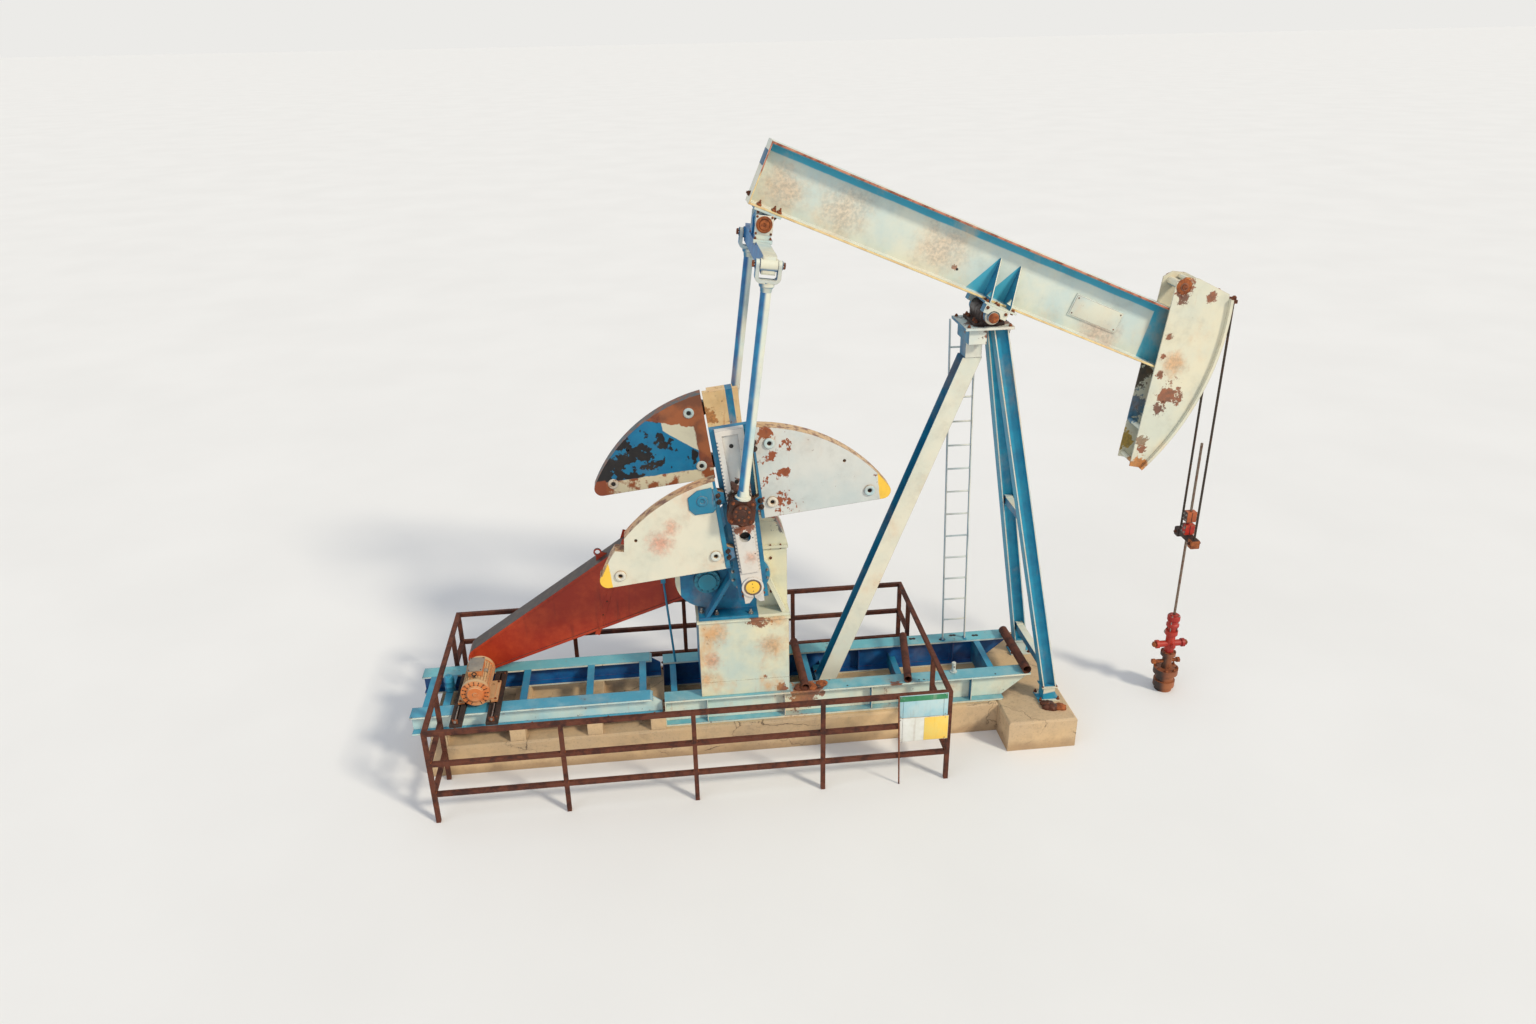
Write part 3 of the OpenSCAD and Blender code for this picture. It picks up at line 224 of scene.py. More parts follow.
class Surface:
    """One procedural material under construction."""

    def __init__(self, name: str, shift: float = 0.0) -> None:
        """Starts a material with a bare shader.

        Args:
            name: The material's name.
            shift: Moves all its patterns, so that two finishes differ.
        """
        self.shift = shift
        self.material = bpy.data.materials.new(name)
        self.material.use_nodes = True
        self.tree = self.material.node_tree
        self.shader = self.tree.nodes["Principled BSDF"]
        self.place = self.node("ShaderNodeTexCoord", out="Object")
        self.facing = self.node("ShaderNodeTexCoord", out="Normal")

    def node(self, kind: str, settings: Optional[dict[str, Any]] = None,
             inputs: Optional[dict[Any, Any]] = None, out: Any = 0) -> Shade:
        """Adds any node to the material, as add_node does."""
        return add_node(self.tree, kind, settings, inputs, out)

    def dot(self, first: Any, second: Any) -> Shade:
        """Scalar product of two vectors, written or linked."""
        return self.node("ShaderNodeVectorMath", {"operation": "DOT_PRODUCT"}, {0: first, 1: second}, "Value")

    def noise(self, scale: float, detail: float = 4.0, rough: float = 0.55,
              stretch: Point = (1.0, 1.0, 1.0), shift: float = 0.0) -> Shade:
        """Noise over the object's own coordinates.

        Args:
            scale: Lumps per metre, about.
            detail: Octaves.
            rough: Weight of the finer octaves.
            stretch: Scale along each axis, small for streaks along it.
            shift: Moves this pattern against the others.

        Returns:
            A value around 0.5.
        """
        moved = self.shift + shift
        spot = self.node("ShaderNodeMapping", inputs={
            "Vector": self.place, "Scale": tuple(stretch), "Location": (moved, moved * 0.7, moved * 1.3)})
        return self.node("ShaderNodeTexNoise", inputs={
            "Vector": spot, "Scale": scale, "Detail": detail, "Roughness": rough})

    def pores(self, scale: float) -> Shade:
        """Distance to the nearest of many scattered points, scale of them per metre."""
        return self.node(
            "ShaderNodeTexVoronoi", inputs={"Vector": self.place, "Scale": scale}, out="Distance")

    def toward(self, direction: Point) -> Shade:
        """How far the surface faces a direction, from -1 to 1."""
        return self.dot(self.facing, tuple(direction))

    def along(self, direction: Point, origin: Point = (0.0, 0.0, 0.0)) -> Shade:
        """Distance of a surface point along a direction, from an origin."""
        return self.dot(self.place, tuple(direction)) - Vector(origin).dot(Vector(direction))

    def spot(self, centre: Point, radius: float, shift: float = 0.0, soft: bool = False) -> Shade:
        """Ragged patch round a place.

        Args:
            centre: Its middle.
            radius: Its rough radius.
            shift: Moves the noise of its border.
            soft: Whether it fades out, as a stain does.

        Returns:
            A share that is 1 inside the patch.
        """
        settings = {"operation": "DISTANCE"}
        far = self.node("ShaderNodeVectorMath", settings, {0: self.place, 1: tuple(centre)}, "Value")
        ragged = self.noise(1.6 / radius, 6.0, 0.72, shift=shift + 11.0)
        if soft:
            return (1 - (far / radius + (ragged - 0.5) * 2.2).rise(0.1, 1.35)) * 0.72
        return 1 - (far / radius + (ragged - 0.5) * 3.2).rise(0.72, 0.82)

    def mix(self, share: Number, low: Any, high: Any) -> Shade:
        """Mixes two colours, written or linked, by the share of the second one."""
        values = [c if isinstance(c, Shade) else linear(c) for c in (low, high)]
        return self.node("ShaderNodeMix", {"data_type": "RGBA"}, {0: share, 6: values[0], 7: values[1]}, 2)

    def worn_edges(self, radius: float) -> tuple[Shade, Shade]:
        """Finds the edges of plain plates.

        Args:
            radius: Width of the softened edge.

        Returns:
            A mask that is 1 along edges, and a normal that rounds them.
        """
        soft = self.node("ShaderNodeBevel", {"samples": 4}, {"Radius": radius})
        true = self.node("ShaderNodeNewGeometry", out="Normal")
        return (1 - self.dot(soft, true)).rise(0.01, 0.12), soft

    def finish(self, colour: Shade, rough: Number, metal: Number, height: Number, lift: float,
               normal: Optional[Shade] = None) -> bpy.types.Material:
        """Links the shader's main sockets.

        Args:
            colour: Base colour.
            rough: Roughness.
            metal: Metallic.
            height: Bump height.
            lift: Size of the bump in metres.
            normal: Normal under the bump.

        Returns:
            The finished material.
        """
        inputs = self.shader.inputs
        for name, value in (("Base Color", colour), ("Roughness", rough), ("Metallic", metal)):
            if isinstance(value, Shade):
                self.tree.links.new(value.socket, inputs[name])
            else:
                inputs[name].default_value = value
        links = {"Height": height, "Distance": lift, "Strength": 1.0}
        if normal is not None:
            links["Normal"] = normal
        bump = self.node("ShaderNodeBump", inputs=links)
        self.tree.links.new(bump.socket, inputs["Normal"])
        return self.material


_made: dict[str, bpy.types.Material] = {}


@dataclass(frozen=True)
class Finish:
    """A finish that builds its material once."""

    name: str
    shift: float = 0.0

    def build(self) -> bpy.types.Material:
        """Builds the material, each finish in its own way."""
        raise NotImplementedError

    def material(self) -> bpy.types.Material:
        """Makes the material at its first use.

        Returns:
            The material.
        """
        if self.name not in _made:
            _made[self.name] = self.build()
        return _made[self.name]


def axis_of(place: Matrix, direction: Point) -> Place:
    """A direction given in a working body's frame, in the machine's frame."""
    return tuple(place.to_3x3() @ Vector(direction))


@dataclass(frozen=True)
class Band:
    """A stretch of a piece between two limits along one direction."""

    direction: Place
    low: float
    high: float
    origin: Place = (0.0, 0.0, 0.0)
    border: float = 0.002

    def share(self, s: Surface) -> Shade:
        """A share that is 1 inside the stretch."""
        place, soft = s.along(self.direction, self.origin), self.border
        return place.rise(self.low - soft, self.low) * (1 - place.rise(self.high, self.high + soft))


@dataclass(frozen=True)
class FadedPaint(Finish):
    """Pale paint with painted light: cream as the lit colour, and strong blue as painted shade on faces
    turned from the light, on undersides, on the far side and in given bands.
    """

    # light and cool are the paint's lit colours; deep and deepest are its painted shade
    light: Rgb = (220, 216, 192)
    cool: Rgb = (182, 204, 204)
    deep: Rgb = (22, 128, 162)
    deepest: Rgb = (8, 92, 134)
    top_shade: Rgb = (104, 178, 188)
    stain: Rgb = (214, 156, 92)
    rust: Rgb = (132, 62, 28)
    pit: Rgb = (84, 40, 22)
    drip: Rgb = (176, 98, 48)
    grime: Rgb = (96, 84, 68)
    stained: float = 0.5
    rusted: float = 0.4
    worn: float = 0.6
    shaded: float = 1.0
    shaded_tops: float = 0.0
    far_side_shade: float = 0.35
    grain: float = 0.0006
    # painted shade falls on faces toward this direction
    turn: Place = BACK
    shade_band: Optional[Band] = None
    spots: tuple[Spot, ...] = ()

    def painted_shade_share(self, s: Surface, fade: Shade) -> Shade:
        """Where painted shade turns the paint blue.

        Args:
            s: The surface.
            fade: Broad noise that breaks the border.

        Returns:
            The share of painted shade.
        """
        # Painted shade: blue on faces turned from the light, on undersides, on the far side and in the shade
        # band.
        shade_facing = s.toward(self.turn).rise(0.25, 0.8)
        under = (-s.toward(UP)).rise(0.3, 0.85)
        back = s.toward(FAR).rise(0.5, 0.95) * self.far_side_shade
        share = shade_facing.at_least(under).at_least(back) * self.shaded
        if self.shade_band is not None:
            share = share.at_least(self.shade_band.share(s))
        return (share + (fade - 0.5) * 0.12).clamped()

    def base_coat(self, s: Surface) -> Shade:
        """The paint with its painted light and shade, before stains and rust.

        Args:
            s: The surface.

        Returns:
            Its colour.
        """
        fade = s.noise(1.3, 5.0, 0.6)
        patch = s.noise(5.5, 5.0, 0.62, shift=3.1)
        pale = s.mix(fade.rise(0.35, 0.68), self.light, self.cool)
        blue = s.mix(patch.rise(0.3, 0.72), self.deep, self.deepest)
        # Painted shade: up-facing faces take the top colour.
        if self.shaded_tops > 0.0:
            bright = s.toward(UP).rise(0.6, 0.95) * (0.55 + patch * 0.9) * self.shaded_tops
            pale = s.mix(bright.clamped(), pale, self.top_shade)
        return s.mix(self.painted_shade_share(s, fade), pale, blue)

    def marks(self, s: Surface, colour: Shade) -> Shade:
        """Adds the marks of a single piece, which are its ragged patches of rust, grease or old paint.

        Args:
            s: The surface.
            colour: The colour so far.

        Returns:
            The colour with its marks.
        """
        mottled = s.noise(26.0, 4.0, 0.7, shift=-self.shift).rise(0.35, 0.65)
        for number, (centre, radius, tone) in enumerate(self.spots):
            pale = tone[0] > 200
            patch = s.spot(centre, radius, number * 1.9, soft=pale) * 0.92
            darker = tuple(c * 3 // 4 for c in tone)
            colour = s.mix(patch, colour, s.mix(mottled, tone, darker))
        return colour

    def build(self) -> bpy.types.Material:
        """Builds the paint with its stains, streaks, chips and worn edges.

        Returns:
            The material.
        """
        s = Surface(self.name, self.shift)
        edge, soft = s.worn_edges(0.008)
        fine = s.noise(70.0, 3.0, 0.6)
        mid = s.noise(14.0, 5.0, 0.65, shift=1.7)
        broad = s.noise(2.2, 5.0, 0.6, stretch=(1.0, 1.0, 0.7), shift=7.3)
        streak = s.noise(6.0, 4.0, 0.6, stretch=(2.6, 2.6, 0.22), shift=2.2)
        colour = self.marks(s, self.base_coat(s))
        stain = (broad.rise(0.5, 0.74) * (0.35 + mid * 0.9) * self.stained).clamped()
        colour = s.mix(stain, colour, self.stain)
        drip = streak.rise(0.63, 0.76) * mid.rise(0.35, 0.6) * (self.rusted * 0.8)
        colour = s.mix(drip.clamped(), colour, self.drip)
        chips = mid * 0.6 + broad * 0.4 + (fine - 0.5) * 0.25
        chips = chips.rise(0.66 - 0.10 * self.rusted, 0.70 - 0.08 * self.rusted) * min(1.0, self.rusted * 1.6)
        bare = (chips + edge * (mid + fine * 0.4).rise(0.5, 0.8) * self.worn).clamped()
        colour = s.mix(bare, colour, s.mix(fine.rise(0.35, 0.7), self.rust, self.pit))
        grime = s.noise(3.2, 6.0, 0.7, shift=9.0).rise(0.45, 0.8) * 0.22
        colour = s.mix(grime, colour, self.grime)
        rough = 0.52 + bare * 0.3 + (fine - 0.5) * 0.2
        height = fine * 0.5 + mid * 0.5 - bare * 0.8
        return s.finish(colour, rough, 0.0, height, self.grain, soft)


@dataclass(frozen=True)
class BeamPaint(FadedPaint):
    """Paint of the walking beam: coloured flange edges, and blue painted shadow under the upper flange."""

    top_edge: Rgb = (192, 122, 96)
    top_crust: Rgb = (128, 68, 44)
    low_edge: Rgb = (232, 208, 150)
    low_crust: Rgb = (206, 160, 104)
    gussets: tuple[float, float] = (-0.092, 0.158)
    gusset_top: float = 0.590

    def marks(self, s: Surface, colour: Shade) -> Shade:
        """Adds the painted shadow under the upper flange, the painted shade beside the horse head and the
        gussets, and the flange edges.

        Args:
            s: The surface.
            colour: The colour so far.

        Returns:
            The colour with its marks.
        """
        colour = super().marks(s, colour)
        along = s.along(axis_of(BEAM, AHEAD), SADDLE)
        up = s.along(axis_of(BEAM, UP), SADDLE)
        side = abs(s.toward(FAR)).rise(0.5, 0.9)
        wobble = (s.noise(4.0, 5.0, 0.6, shift=3.0) - 0.5) * 0.05
        # Painted shadow: blue under the upper flange, beside the horse head and to the left of each gusset.
        head_shadow = (along + up * 0.12 + wobble * 0.4).rise(1.915, 1.93)
        shade_band = (up + wobble * 0.5).rise(0.675, 0.69).at_least(head_shadow)
        for foot in self.gussets:
            slope = along - foot + (self.gusset_top - up) * 0.52 + wobble * 0.2
            shade_band = shade_band.at_least(slope.rise(0.0, 0.006) * (foot - along).rise(0.0, 0.004))
        colour = s.mix(shade_band * side * 0.93, colour, s.mix(wobble * 10 + 0.5, self.deep, self.deepest))
        edge = abs(s.along(FAR)).rise(0.1455, 0.1475)
        crust = s.noise(9.0, 6.0, 0.65).rise(0.42, 0.62)
        top = s.mix(crust, self.top_edge, self.top_crust)
        low = s.mix(crust * 0.5, self.low_edge, self.low_crust)
        return s.mix(edge * side, colour, s.mix(up.rise(0.4, 0.5), low, top))


@dataclass(frozen=True)
class WeightPaint(FadedPaint):
    """Paint of a counterweight: a yellow tip, a weathered rim and patches that follow the crank."""

    tip_side: float = 1.0
    tip: Rgb = (244, 196, 66)
    rim: Rgb = (206, 168, 118)
    rim_crust: Rgb = (120, 66, 34)
    scale: tuple[Rgb, Rgb] = ((142, 70, 34), (92, 44, 26))
    sunlit_rust: tuple[Rgb, Rgb] = ((158, 84, 40), (112, 56, 28))
    sunlit_cream: tuple[Rgb, Rgb] = ((216, 208, 180), (218, 204, 170))
    soot: Rgb = (26, 24, 26)
    painted_light: float = 0.0
    crusted: float = 0.0
    hub: float = 0.0
    grain: float = 0.0012

    def painted_shade_share(self, s: Surface, fade: Shade) -> Shade:
        """Painted shade: blue on the whole flat face of a weight in shade, or only where the plain painted
        shade falls.

        Args:
            s: The surface.
            fade: Broad noise that breaks the border.

        Returns:
            The share of painted shade.
        """
        plain = super().painted_shade_share(s, fade)
        if self.painted_light <= 0.0:
            return plain
        return plain.at_least(abs(s.toward(FAR)).rise(0.5, 0.9) * self.painted_light)

    def painted_light_and_soot(self, s: Surface, colour: Shade, out: Shade, up: Shade, wobble: Shade) -> Shade:
        """Adds the painted light of a weight in shade: sunlit rust on the upper part, the sunlit cream wedge
        and strip, and its soot.

        Args:
            s: The surface.
            colour: The colour so far.
            out: Distance from the shaft towards the weight's tip.
            up: Distance from the shaft along the crank.
            wobble: Noise that makes borders ragged.

        Returns:
            The colour with its marks.
        """
        patch_noise = s.noise(3.0, 7.0, 0.62, shift=4.0)
        flecks = s.noise(6.5, 6.0, 0.6, shift=6.0)
        sunlit_brown = s.mix(patch_noise.rise(0.4, 0.6), *self.sunlit_rust)
        # Painted sunlight: the upper zone, the wedge and the strip take lit colours on a face in painted
        # shade.
        sunlit_zone = (up - out * 0.3 + wobble * 4.0).rise(1.39, 1.40) * (0.98 - out + wobble * 8.0).rise(0.0, 0.02)
        sunlit_zone = sunlit_zone.at_least((0.37 - out + wobble * 2.0).rise(0.0, 0.02))
        sunlit_wedge = (up - out * 0.83 + wobble).rise(0.90, 0.91) * (0.74 - out + wobble).rise(0.0, 0.01)
        colour = s.mix(sunlit_zone * 0.96, s.mix(sunlit_wedge * 0.94, colour, self.sunlit_cream[0]), sunlit_brown)
        strip = (0.965 - up + out * 0.015 + wobble).rise(0.0, 0.01)
        colour = s.mix(strip, colour, s.mix(patch_noise.rise(0.48, 0.54), self.sunlit_cream[1], (150, 80, 42)))
        soot = (flecks * 0.7 + patch_noise * 0.3 + out * 0.09).rise(0.60, 0.612)
        soot = soot * (1 - strip) * (1 - sunlit_zone * 0.85) * (1 - sunlit_wedge)
        corner = (out + wobble * 2.0).rise(1.50, 1.52) * (1.02 - up).rise(0.0, 0.02)
        return s.mix(corner, s.mix(soot, colour, self.soot), (140, 66, 34))

    def marks(self, s: Surface, colour: Shade) -> Shade:
        """Adds the tip, or the painted light of a weight in shade, the crust beside the crank, the painted
        hub and the rim's colour.

        Args:
            s: The surface.
            colour: The colour so far.

        Returns:
            The colour with its marks.
        """
        out = s.along(axis_of(CRANK, (self.tip_side, 0.0, 0.0)), SHAFT)
        up = s.along(axis_of(CRANK, UP), SHAFT)
        wobble = (s.noise(9.0, 4.0, 0.6) - 0.5) * 0.03
        colour = super().marks(s, colour)
        if self.painted_light > 0.0:
            colour = self.painted_light_and_soot(s, colour, out, up, wobble)
        else:
            colour = s.mix((out + wobble).rise(1.52, 1.53), colour, self.tip)
        if self.crusted > 0.0:
            scale = s.noise(7.0, 7.0, 0.62, stretch=(1.0, 1.0, 0.8), shift=2.4)
            near_crank = (0.80 - out + wobble).rise(0.0, 0.45)
            crust = (scale + near_crank * 0.12 * self.crusted).rise(0.655, 0.675)
            colour = s.mix(crust, colour, s.mix(scale.rise(0.6, 0.75), *self.scale))
        if self.hub > 0.0:
            hub = (self.hub - out + wobble * 0.3).rise(0.0, 0.006)
            colour = s.mix(hub, colour, s.mix(wobble * 12 + 0.5, self.deep, self.deepest))
        flat = abs(s.toward(FAR)).rise(0.4, 0.8)
        crust = s.noise(12.0, 5.0, 0.65, shift=5.0).rise(0.45, 0.6)
        return s.mix((1 - flat) * 0.9, colour, s.mix(crust, self.rim, self.rim_crust))


@dataclass(frozen=True)
class Concrete(Finish):
    """Old cast concrete, stained by oil and rust, with hairline cracks."""

    warm: tuple[Rgb, Rgb] = ((216, 182, 136), (194, 168, 134))
    patch: Rgb = (158, 134, 106)
    gravel: Rgb = (138, 118, 98)
    damp: Rgb = (140, 108, 78)
    oil: Rgb = (92, 66, 46)
    hollow: Rgb = (84, 68, 54)
    chalk: Rgb = (232, 212, 180)

    def build(self) -> bpy.types.Material:
        """Builds the concrete.

        Returns:
            The material.
        """
        s = Surface(self.name, self.shift)
        edge, soft = s.worn_edges(0.02)
        broad = s.noise(0.9, 6.0, 0.6)
        mid = s.noise(6.0, 6.0, 0.65)
        fine = s.noise(90.0, 3.0, 0.7)
        wander = s.noise(3.0, 4.0, 0.6)
        spot = s.node("ShaderNodeMapping", inputs={"Vector": s.place, "Scale": (0.8, 1.0, 1.0)})
        push = s.node("ShaderNodeCombineXYZ", inputs={0: wander * 0.5, 1: wander * 0.4, 2: mid * 0.2})
        shifted = s.node("ShaderNodeVectorMath", {"operation": "ADD"}, {0: spot, 1: push})
        crack = s.node(
            "ShaderNodeTexVoronoi", {"feature": "DISTANCE_TO_EDGE"}, {"Vector": shifted, "Scale": 1.1},
            "Distance")
        line = (1 - crack.rise(0.0, 0.006)) * broad.rise(0.5, 0.56)
        pores = 1 - s.pores(38.0).rise(0.06, 0.16)
        colour = s.mix(broad.rise(0.3, 0.7), *self.warm)
        colour = s.mix(mid.rise(0.45, 0.75) * 0.45, colour, self.patch)
        gravel = s.noise(34.0, 5.0, 0.75).rise(0.54, 0.62) * broad.rise(0.4, 0.6)
        colour = s.mix(gravel * 0.35, colour, self.gravel)
        side = 1 - s.toward(UP).rise(0.4, 0.9)
        foot = (0.16 - s.along(UP) + (wander - 0.5) * 0.2).rise(0.0, 0.12) * side
        colour = s.mix(foot * 0.45, colour, self.damp)
        oil = s.noise(1.4, 5.0, 0.6, shift=8.0).rise(0.58, 0.74) * (1 - side)
        colour = s.mix(oil * 0.75, colour, self.oil)
        colour = s.mix((pores * 0.5 + line).clamped() * 0.8, colour, self.hollow)
        colour = s.mix(edge * mid.rise(0.4, 0.6) * 0.5, colour, self.chalk)
        height = mid * 0.6 + fine * 0.25 - pores * 0.4 - line * 1.2
        return s.finish(colour, 0.86 - oil * 0.3, 0.0, height, 0.006, soft)


@dataclass(frozen=True)
class Rust(Finish):
    """Rusted steel with the last of its dark paint."""

    light: Rgb = (150, 84, 46)
    dark: Rgb = (72, 34, 22)
    skin: Rgb = (58, 44, 40)
    grease: Rgb = (26, 18, 15)
    rubbed: Rgb = (178, 108, 62)
    painted: float = 0.3
    oily: float = 0.0
    grain: float = 0.0012
    scale: float = 9.0

    def build(self) -> bpy.types.Material:
        """Builds the rust.

        Returns:
            The material.
        """
        s = Surface(self.name, self.shift)
        edge, soft = s.worn_edges(0.006)
        broad = s.noise(2.4, 5.0, 0.6)
        mid = s.noise(self.scale, 6.0, 0.7, shift=2.0)
        fine = s.noise(110.0, 3.0, 0.7)
        colour = s.mix((mid * 0.7 + broad * 0.3).rise(0.36, 0.64), self.dark, self.light)
        flake = (mid * 0.5 + fine * 0.2 + broad * 0.3).rise(0.53, 0.57)
        colour = s.mix(flake * self.painted, colour, self.skin)
        grease = (broad * 0.6 + mid * 0.4).rise(0.42, 0.6) * self.oily
        colour = s.mix(grease.clamped(), colour, self.grease)
        colour = s.mix(edge * 0.45 * mid.rise(0.4, 0.7), colour, self.rubbed)
        rough = 0.82 - grease * 0.5 + (fine - 0.5) * 0.15
        return s.finish(colour, rough, 0.15, mid * 0.6 + fine * 0.4 - grease * 0.3, self.grain, soft)


@dataclass(frozen=True)
class Steel(Finish):
    """Machined or galvanised steel that has dulled and begun to rust."""

    bright: Rgb = (168, 160, 150)
    dull: Rgb = (110, 92, 78)
    rust: tuple[Rgb, Rgb] = ((120, 62, 34), (74, 38, 24))
    rusted: float = 0.5
    rough: float = 0.38

    def build(self) -> bpy.types.Material:
        """Builds the steel.

        Returns:
            The material.
        """
        s = Surface(self.name, self.shift)
        mid = s.noise(24.0, 5.0, 0.65)
        fine = s.noise(160.0, 3.0, 0.6, stretch=(1.0, 1.0, 0.3))
        rust = mid.rise(0.62 - 0.25 * self.rusted, 0.72 - 0.15 * self.rusted)
        colour = s.mix(fine.rise(0.3, 0.7), self.bright, self.dull)
        colour = s.mix(rust, colour, s.mix(fine.rise(0.3, 0.7), *self.rust))
        rough = self.rough + rust * 0.4 + (fine - 0.5) * 0.2
        return s.finish(colour, rough, 0.9 - rust * 0.8, fine * 0.4 + mid * 0.6, 0.0004)


@dataclass(frozen=True)
class Enamel(Finish):
    """A strong coloured paint with scuffs, dust and rust at its edges."""

    colour: Rgb = (150, 28, 12)
    faded: Rgb = (196, 62, 34)
    chip: Rgb = (92, 44, 26)
    dust: Rgb = (168, 140, 108)
    top: Optional[Rgb] = None
    side: Optional[Rgb] = None
    worn: float = 0.5
    rough: float = 0.5

    def build(self) -> bpy.types.Material:
        """Builds the enamel.

        Returns:
            The material.
        """
        s = Surface(self.name, self.shift)
        edge, soft = s.worn_edges(0.006)
        broad = s.noise(1.8, 5.0, 0.6)
        mid = s.noise(11.0, 5.0, 0.65, shift=1.0)
        fine = s.noise(90.0, 3.0, 0.6)
        colour = s.mix((broad * 0.7 + mid * 0.3).rise(0.4, 0.64), self.colour, self.faded)
        # Painted shade: faces toward the back take the side colour.
        if self.side is not None:
            colour = s.mix(s.toward(BACK).rise(0.15, 0.7), colour, self.side)
        # Up-facing faces take the top colour.
        if self.top is not None:
            colour = s.mix(s.toward(UP).rise(0.25, 0.7), colour, self.top)
        streak = s.noise(5.0, 4.0, 0.6, stretch=(2.4, 2.4, 0.25)).rise(0.55, 0.75)
        colour = s.mix(streak * 0.35, colour, self.chip)
        bare = (mid * 0.7 + fine * 0.3).rise(0.62, 0.68) + edge * mid.rise(0.4, 0.6)
        bare = (bare * self.worn).clamped()
        colour = s.mix(bare, colour, self.chip)
        dust = s.toward(UP).rise(0.3, 0.9) * mid.rise(0.4, 0.7) * 0.14
        colour = s.mix(dust, colour, self.dust)
        rough = self.rough + bare * 0.3 + dust * 0.2 + (fine - 0.5) * 0.12
        return s.finish(colour, rough, 0.0, fine * 0.4 + mid * 0.4 - bare * 0.6, 0.0006, soft)


@dataclass(frozen=True)
class Shadow(Finish):
    """Painted shade that stands for the dark inside a drilled hole, slot or seam, with a little oil in it."""

    def build(self) -> bpy.types.Material:
        """Builds the dark.

        Returns:
            The material.
        """
        s = Surface(self.name, self.shift)
        mid = s.noise(30.0, 4.0, 0.6)
        colour = s.mix(mid.rise(0.3, 0.7), (16, 13, 12), (34, 26, 22))
        return s.finish(colour, 0.6, 0.0, mid, 0.0005)


@dataclass(frozen=True)
class WireRope(Finish):
    """Greased wire strands, with dust between them."""

    def build(self) -> bpy.types.Material:
        """Builds the rope's surface.

        Returns:
            The material.
        """
        s = Surface(self.name, self.shift)
        fine = s.noise(220.0, 3.0, 0.6, stretch=(1.0, 1.0, 0.4))
        mid = s.noise(12.0, 4.0, 0.6)
        colour = s.mix(fine.rise(0.35, 0.7), (34, 29, 26), (96, 84, 72))
        colour = s.mix(mid.rise(0.5, 0.7) * 0.5, colour, (104, 62, 38))
        return s.finish(colour, 0.5 + mid * 0.2, 0.55, fine, 0.0008)


# Tones of the marks on single pieces
DRIP = (146, 74, 36)
STAIN = (222, 158, 96)
GREASE = (40, 26, 20)
DARK_RUST = (112, 54, 30)


def marks_on(place: Matrix, y: float, *marks: Mark) -> tuple[Spot, ...]:
    """Marks on an upright face at y of a frame, each given by both distances, radius and tone, as spots."""
    return tuple((tuple(place @ Vector((u, y, v))), radius, tone) for u, v, radius, tone in marks)


def leg_band(side: float) -> Band:
    """Band round the web of a front leg, where blue painted shade falls in the web's recess.

    Args:
        side: -1 for the near leg and 1 for the far one.

    Returns:
        The band, across the leg.
    """
    line = Vector((LEG_HEAD[0] - LEG_FOOT[0], side * (LEG_HEAD[1] - LEG_FOOT[1]), LEG_RISE))
    tilt = Matrix.Rotation(-math.asin(line.y / line.length), 3, "X")
    lean = Matrix.Rotation(math.atan2(line.x, line.z), 3, "Y")
    across = lean @ tilt @ Vector(FAR)
    return Band(tuple(across), -0.066, 0.066, (LEG_FOOT[0], side * LEG_FOOT[1], LEG_FOOT[2]))


PAINT = FadedPaint("faded_paint")
BEAM_PAINT = BeamPaint(
    "beam_paint", shift=4.0, deep=(34, 172, 196), deepest=(22, 148, 182), stained=0.7, rusted=0.2, worn=0.75,
    stain=(228, 192, 150), turn=DOWN, light=(222, 220, 200), cool=(196, 210, 204),
    spots=marks_on(
        BEAM, -0.008, (-0.53, 0.305, 0.035, DRIP), (-1.9, 0.42, 0.30, (226, 202, 172)),
        (-0.75, 0.44, 0.32, (224, 198, 168)), (1.35, 0.22, 0.26, (220, 190, 166)),
        (-2.55, 0.40, 0.26, (222, 190, 156))))
# Painted shade: blue on the pitman tubes' sides turned from the light, and on the equalizer behind its near
# housing face.
PITMAN_PAINT = FadedPaint(
    "pitman_paint", shift=45.0, turn=(-1.0, -0.42, 0.0), deep=(26, 128, 170), deepest=(12, 84, 140),
    light=(226, 222, 200), stained=0.4, rusted=0.3)
EQUALIZER_PAINT = FadedPaint(
    "equalizer_paint", shift=47.0, shade_band=Band(FAR, -0.185, 1.20), rusted=0.4, deep=(18, 116, 168),
    deepest=(8, 84, 140))
BLUE_PAINT = FadedPaint(
    "blue_paint", shift=8.0, light=(40, 142, 172), cool=(24, 116, 152), deepest=(6, 70, 118), stained=0.12,
    rusted=0.3)
# Painted shade: teal on the skids' up-facing faces, and blue in the far beams' webs.
SKID_PAINT = FadedPaint(
    "skid_paint", shift=10.0, shaded_tops=0.85, far_side_shade=1.0, stained=0.4, rusted=0.45, worn=0.9,
    light=(224, 222, 198), cool=(190, 214, 206), top_shade=(84, 162, 178),
    spots=marks_on(
        HERE, -0.535, (-2.05, 0.70, 0.30, DRIP), (-0.95, 0.72, 0.10, DRIP), (-3.0, 0.60, 0.09, STAIN),
        (-0.2, 0.6, 0.12, STAIN)))
FAR_SKID_PAINT = FadedPaint(
    "far_skid_paint", shift=11.0, shaded_tops=1.0, far_side_shade=1.0, stained=0.15, rusted=0.4, worn=0.9,
    deep=(14, 98, 158), deepest=(6, 62, 120), shade_band=Band(UP, 0.424, 0.738))
MOTOR_SKID_PAINT = FadedPaint(
    "motor_skid_paint", shift=14.0, shaded_tops=1.0, far_side_shade=1.0, stained=0.2, rusted=0.5, worn=1.0,
    light=(212, 222, 208), cool=(160, 206, 212), top_shade=(74, 156, 182), deep=(14, 104, 160),
    deepest=(8, 70, 128))
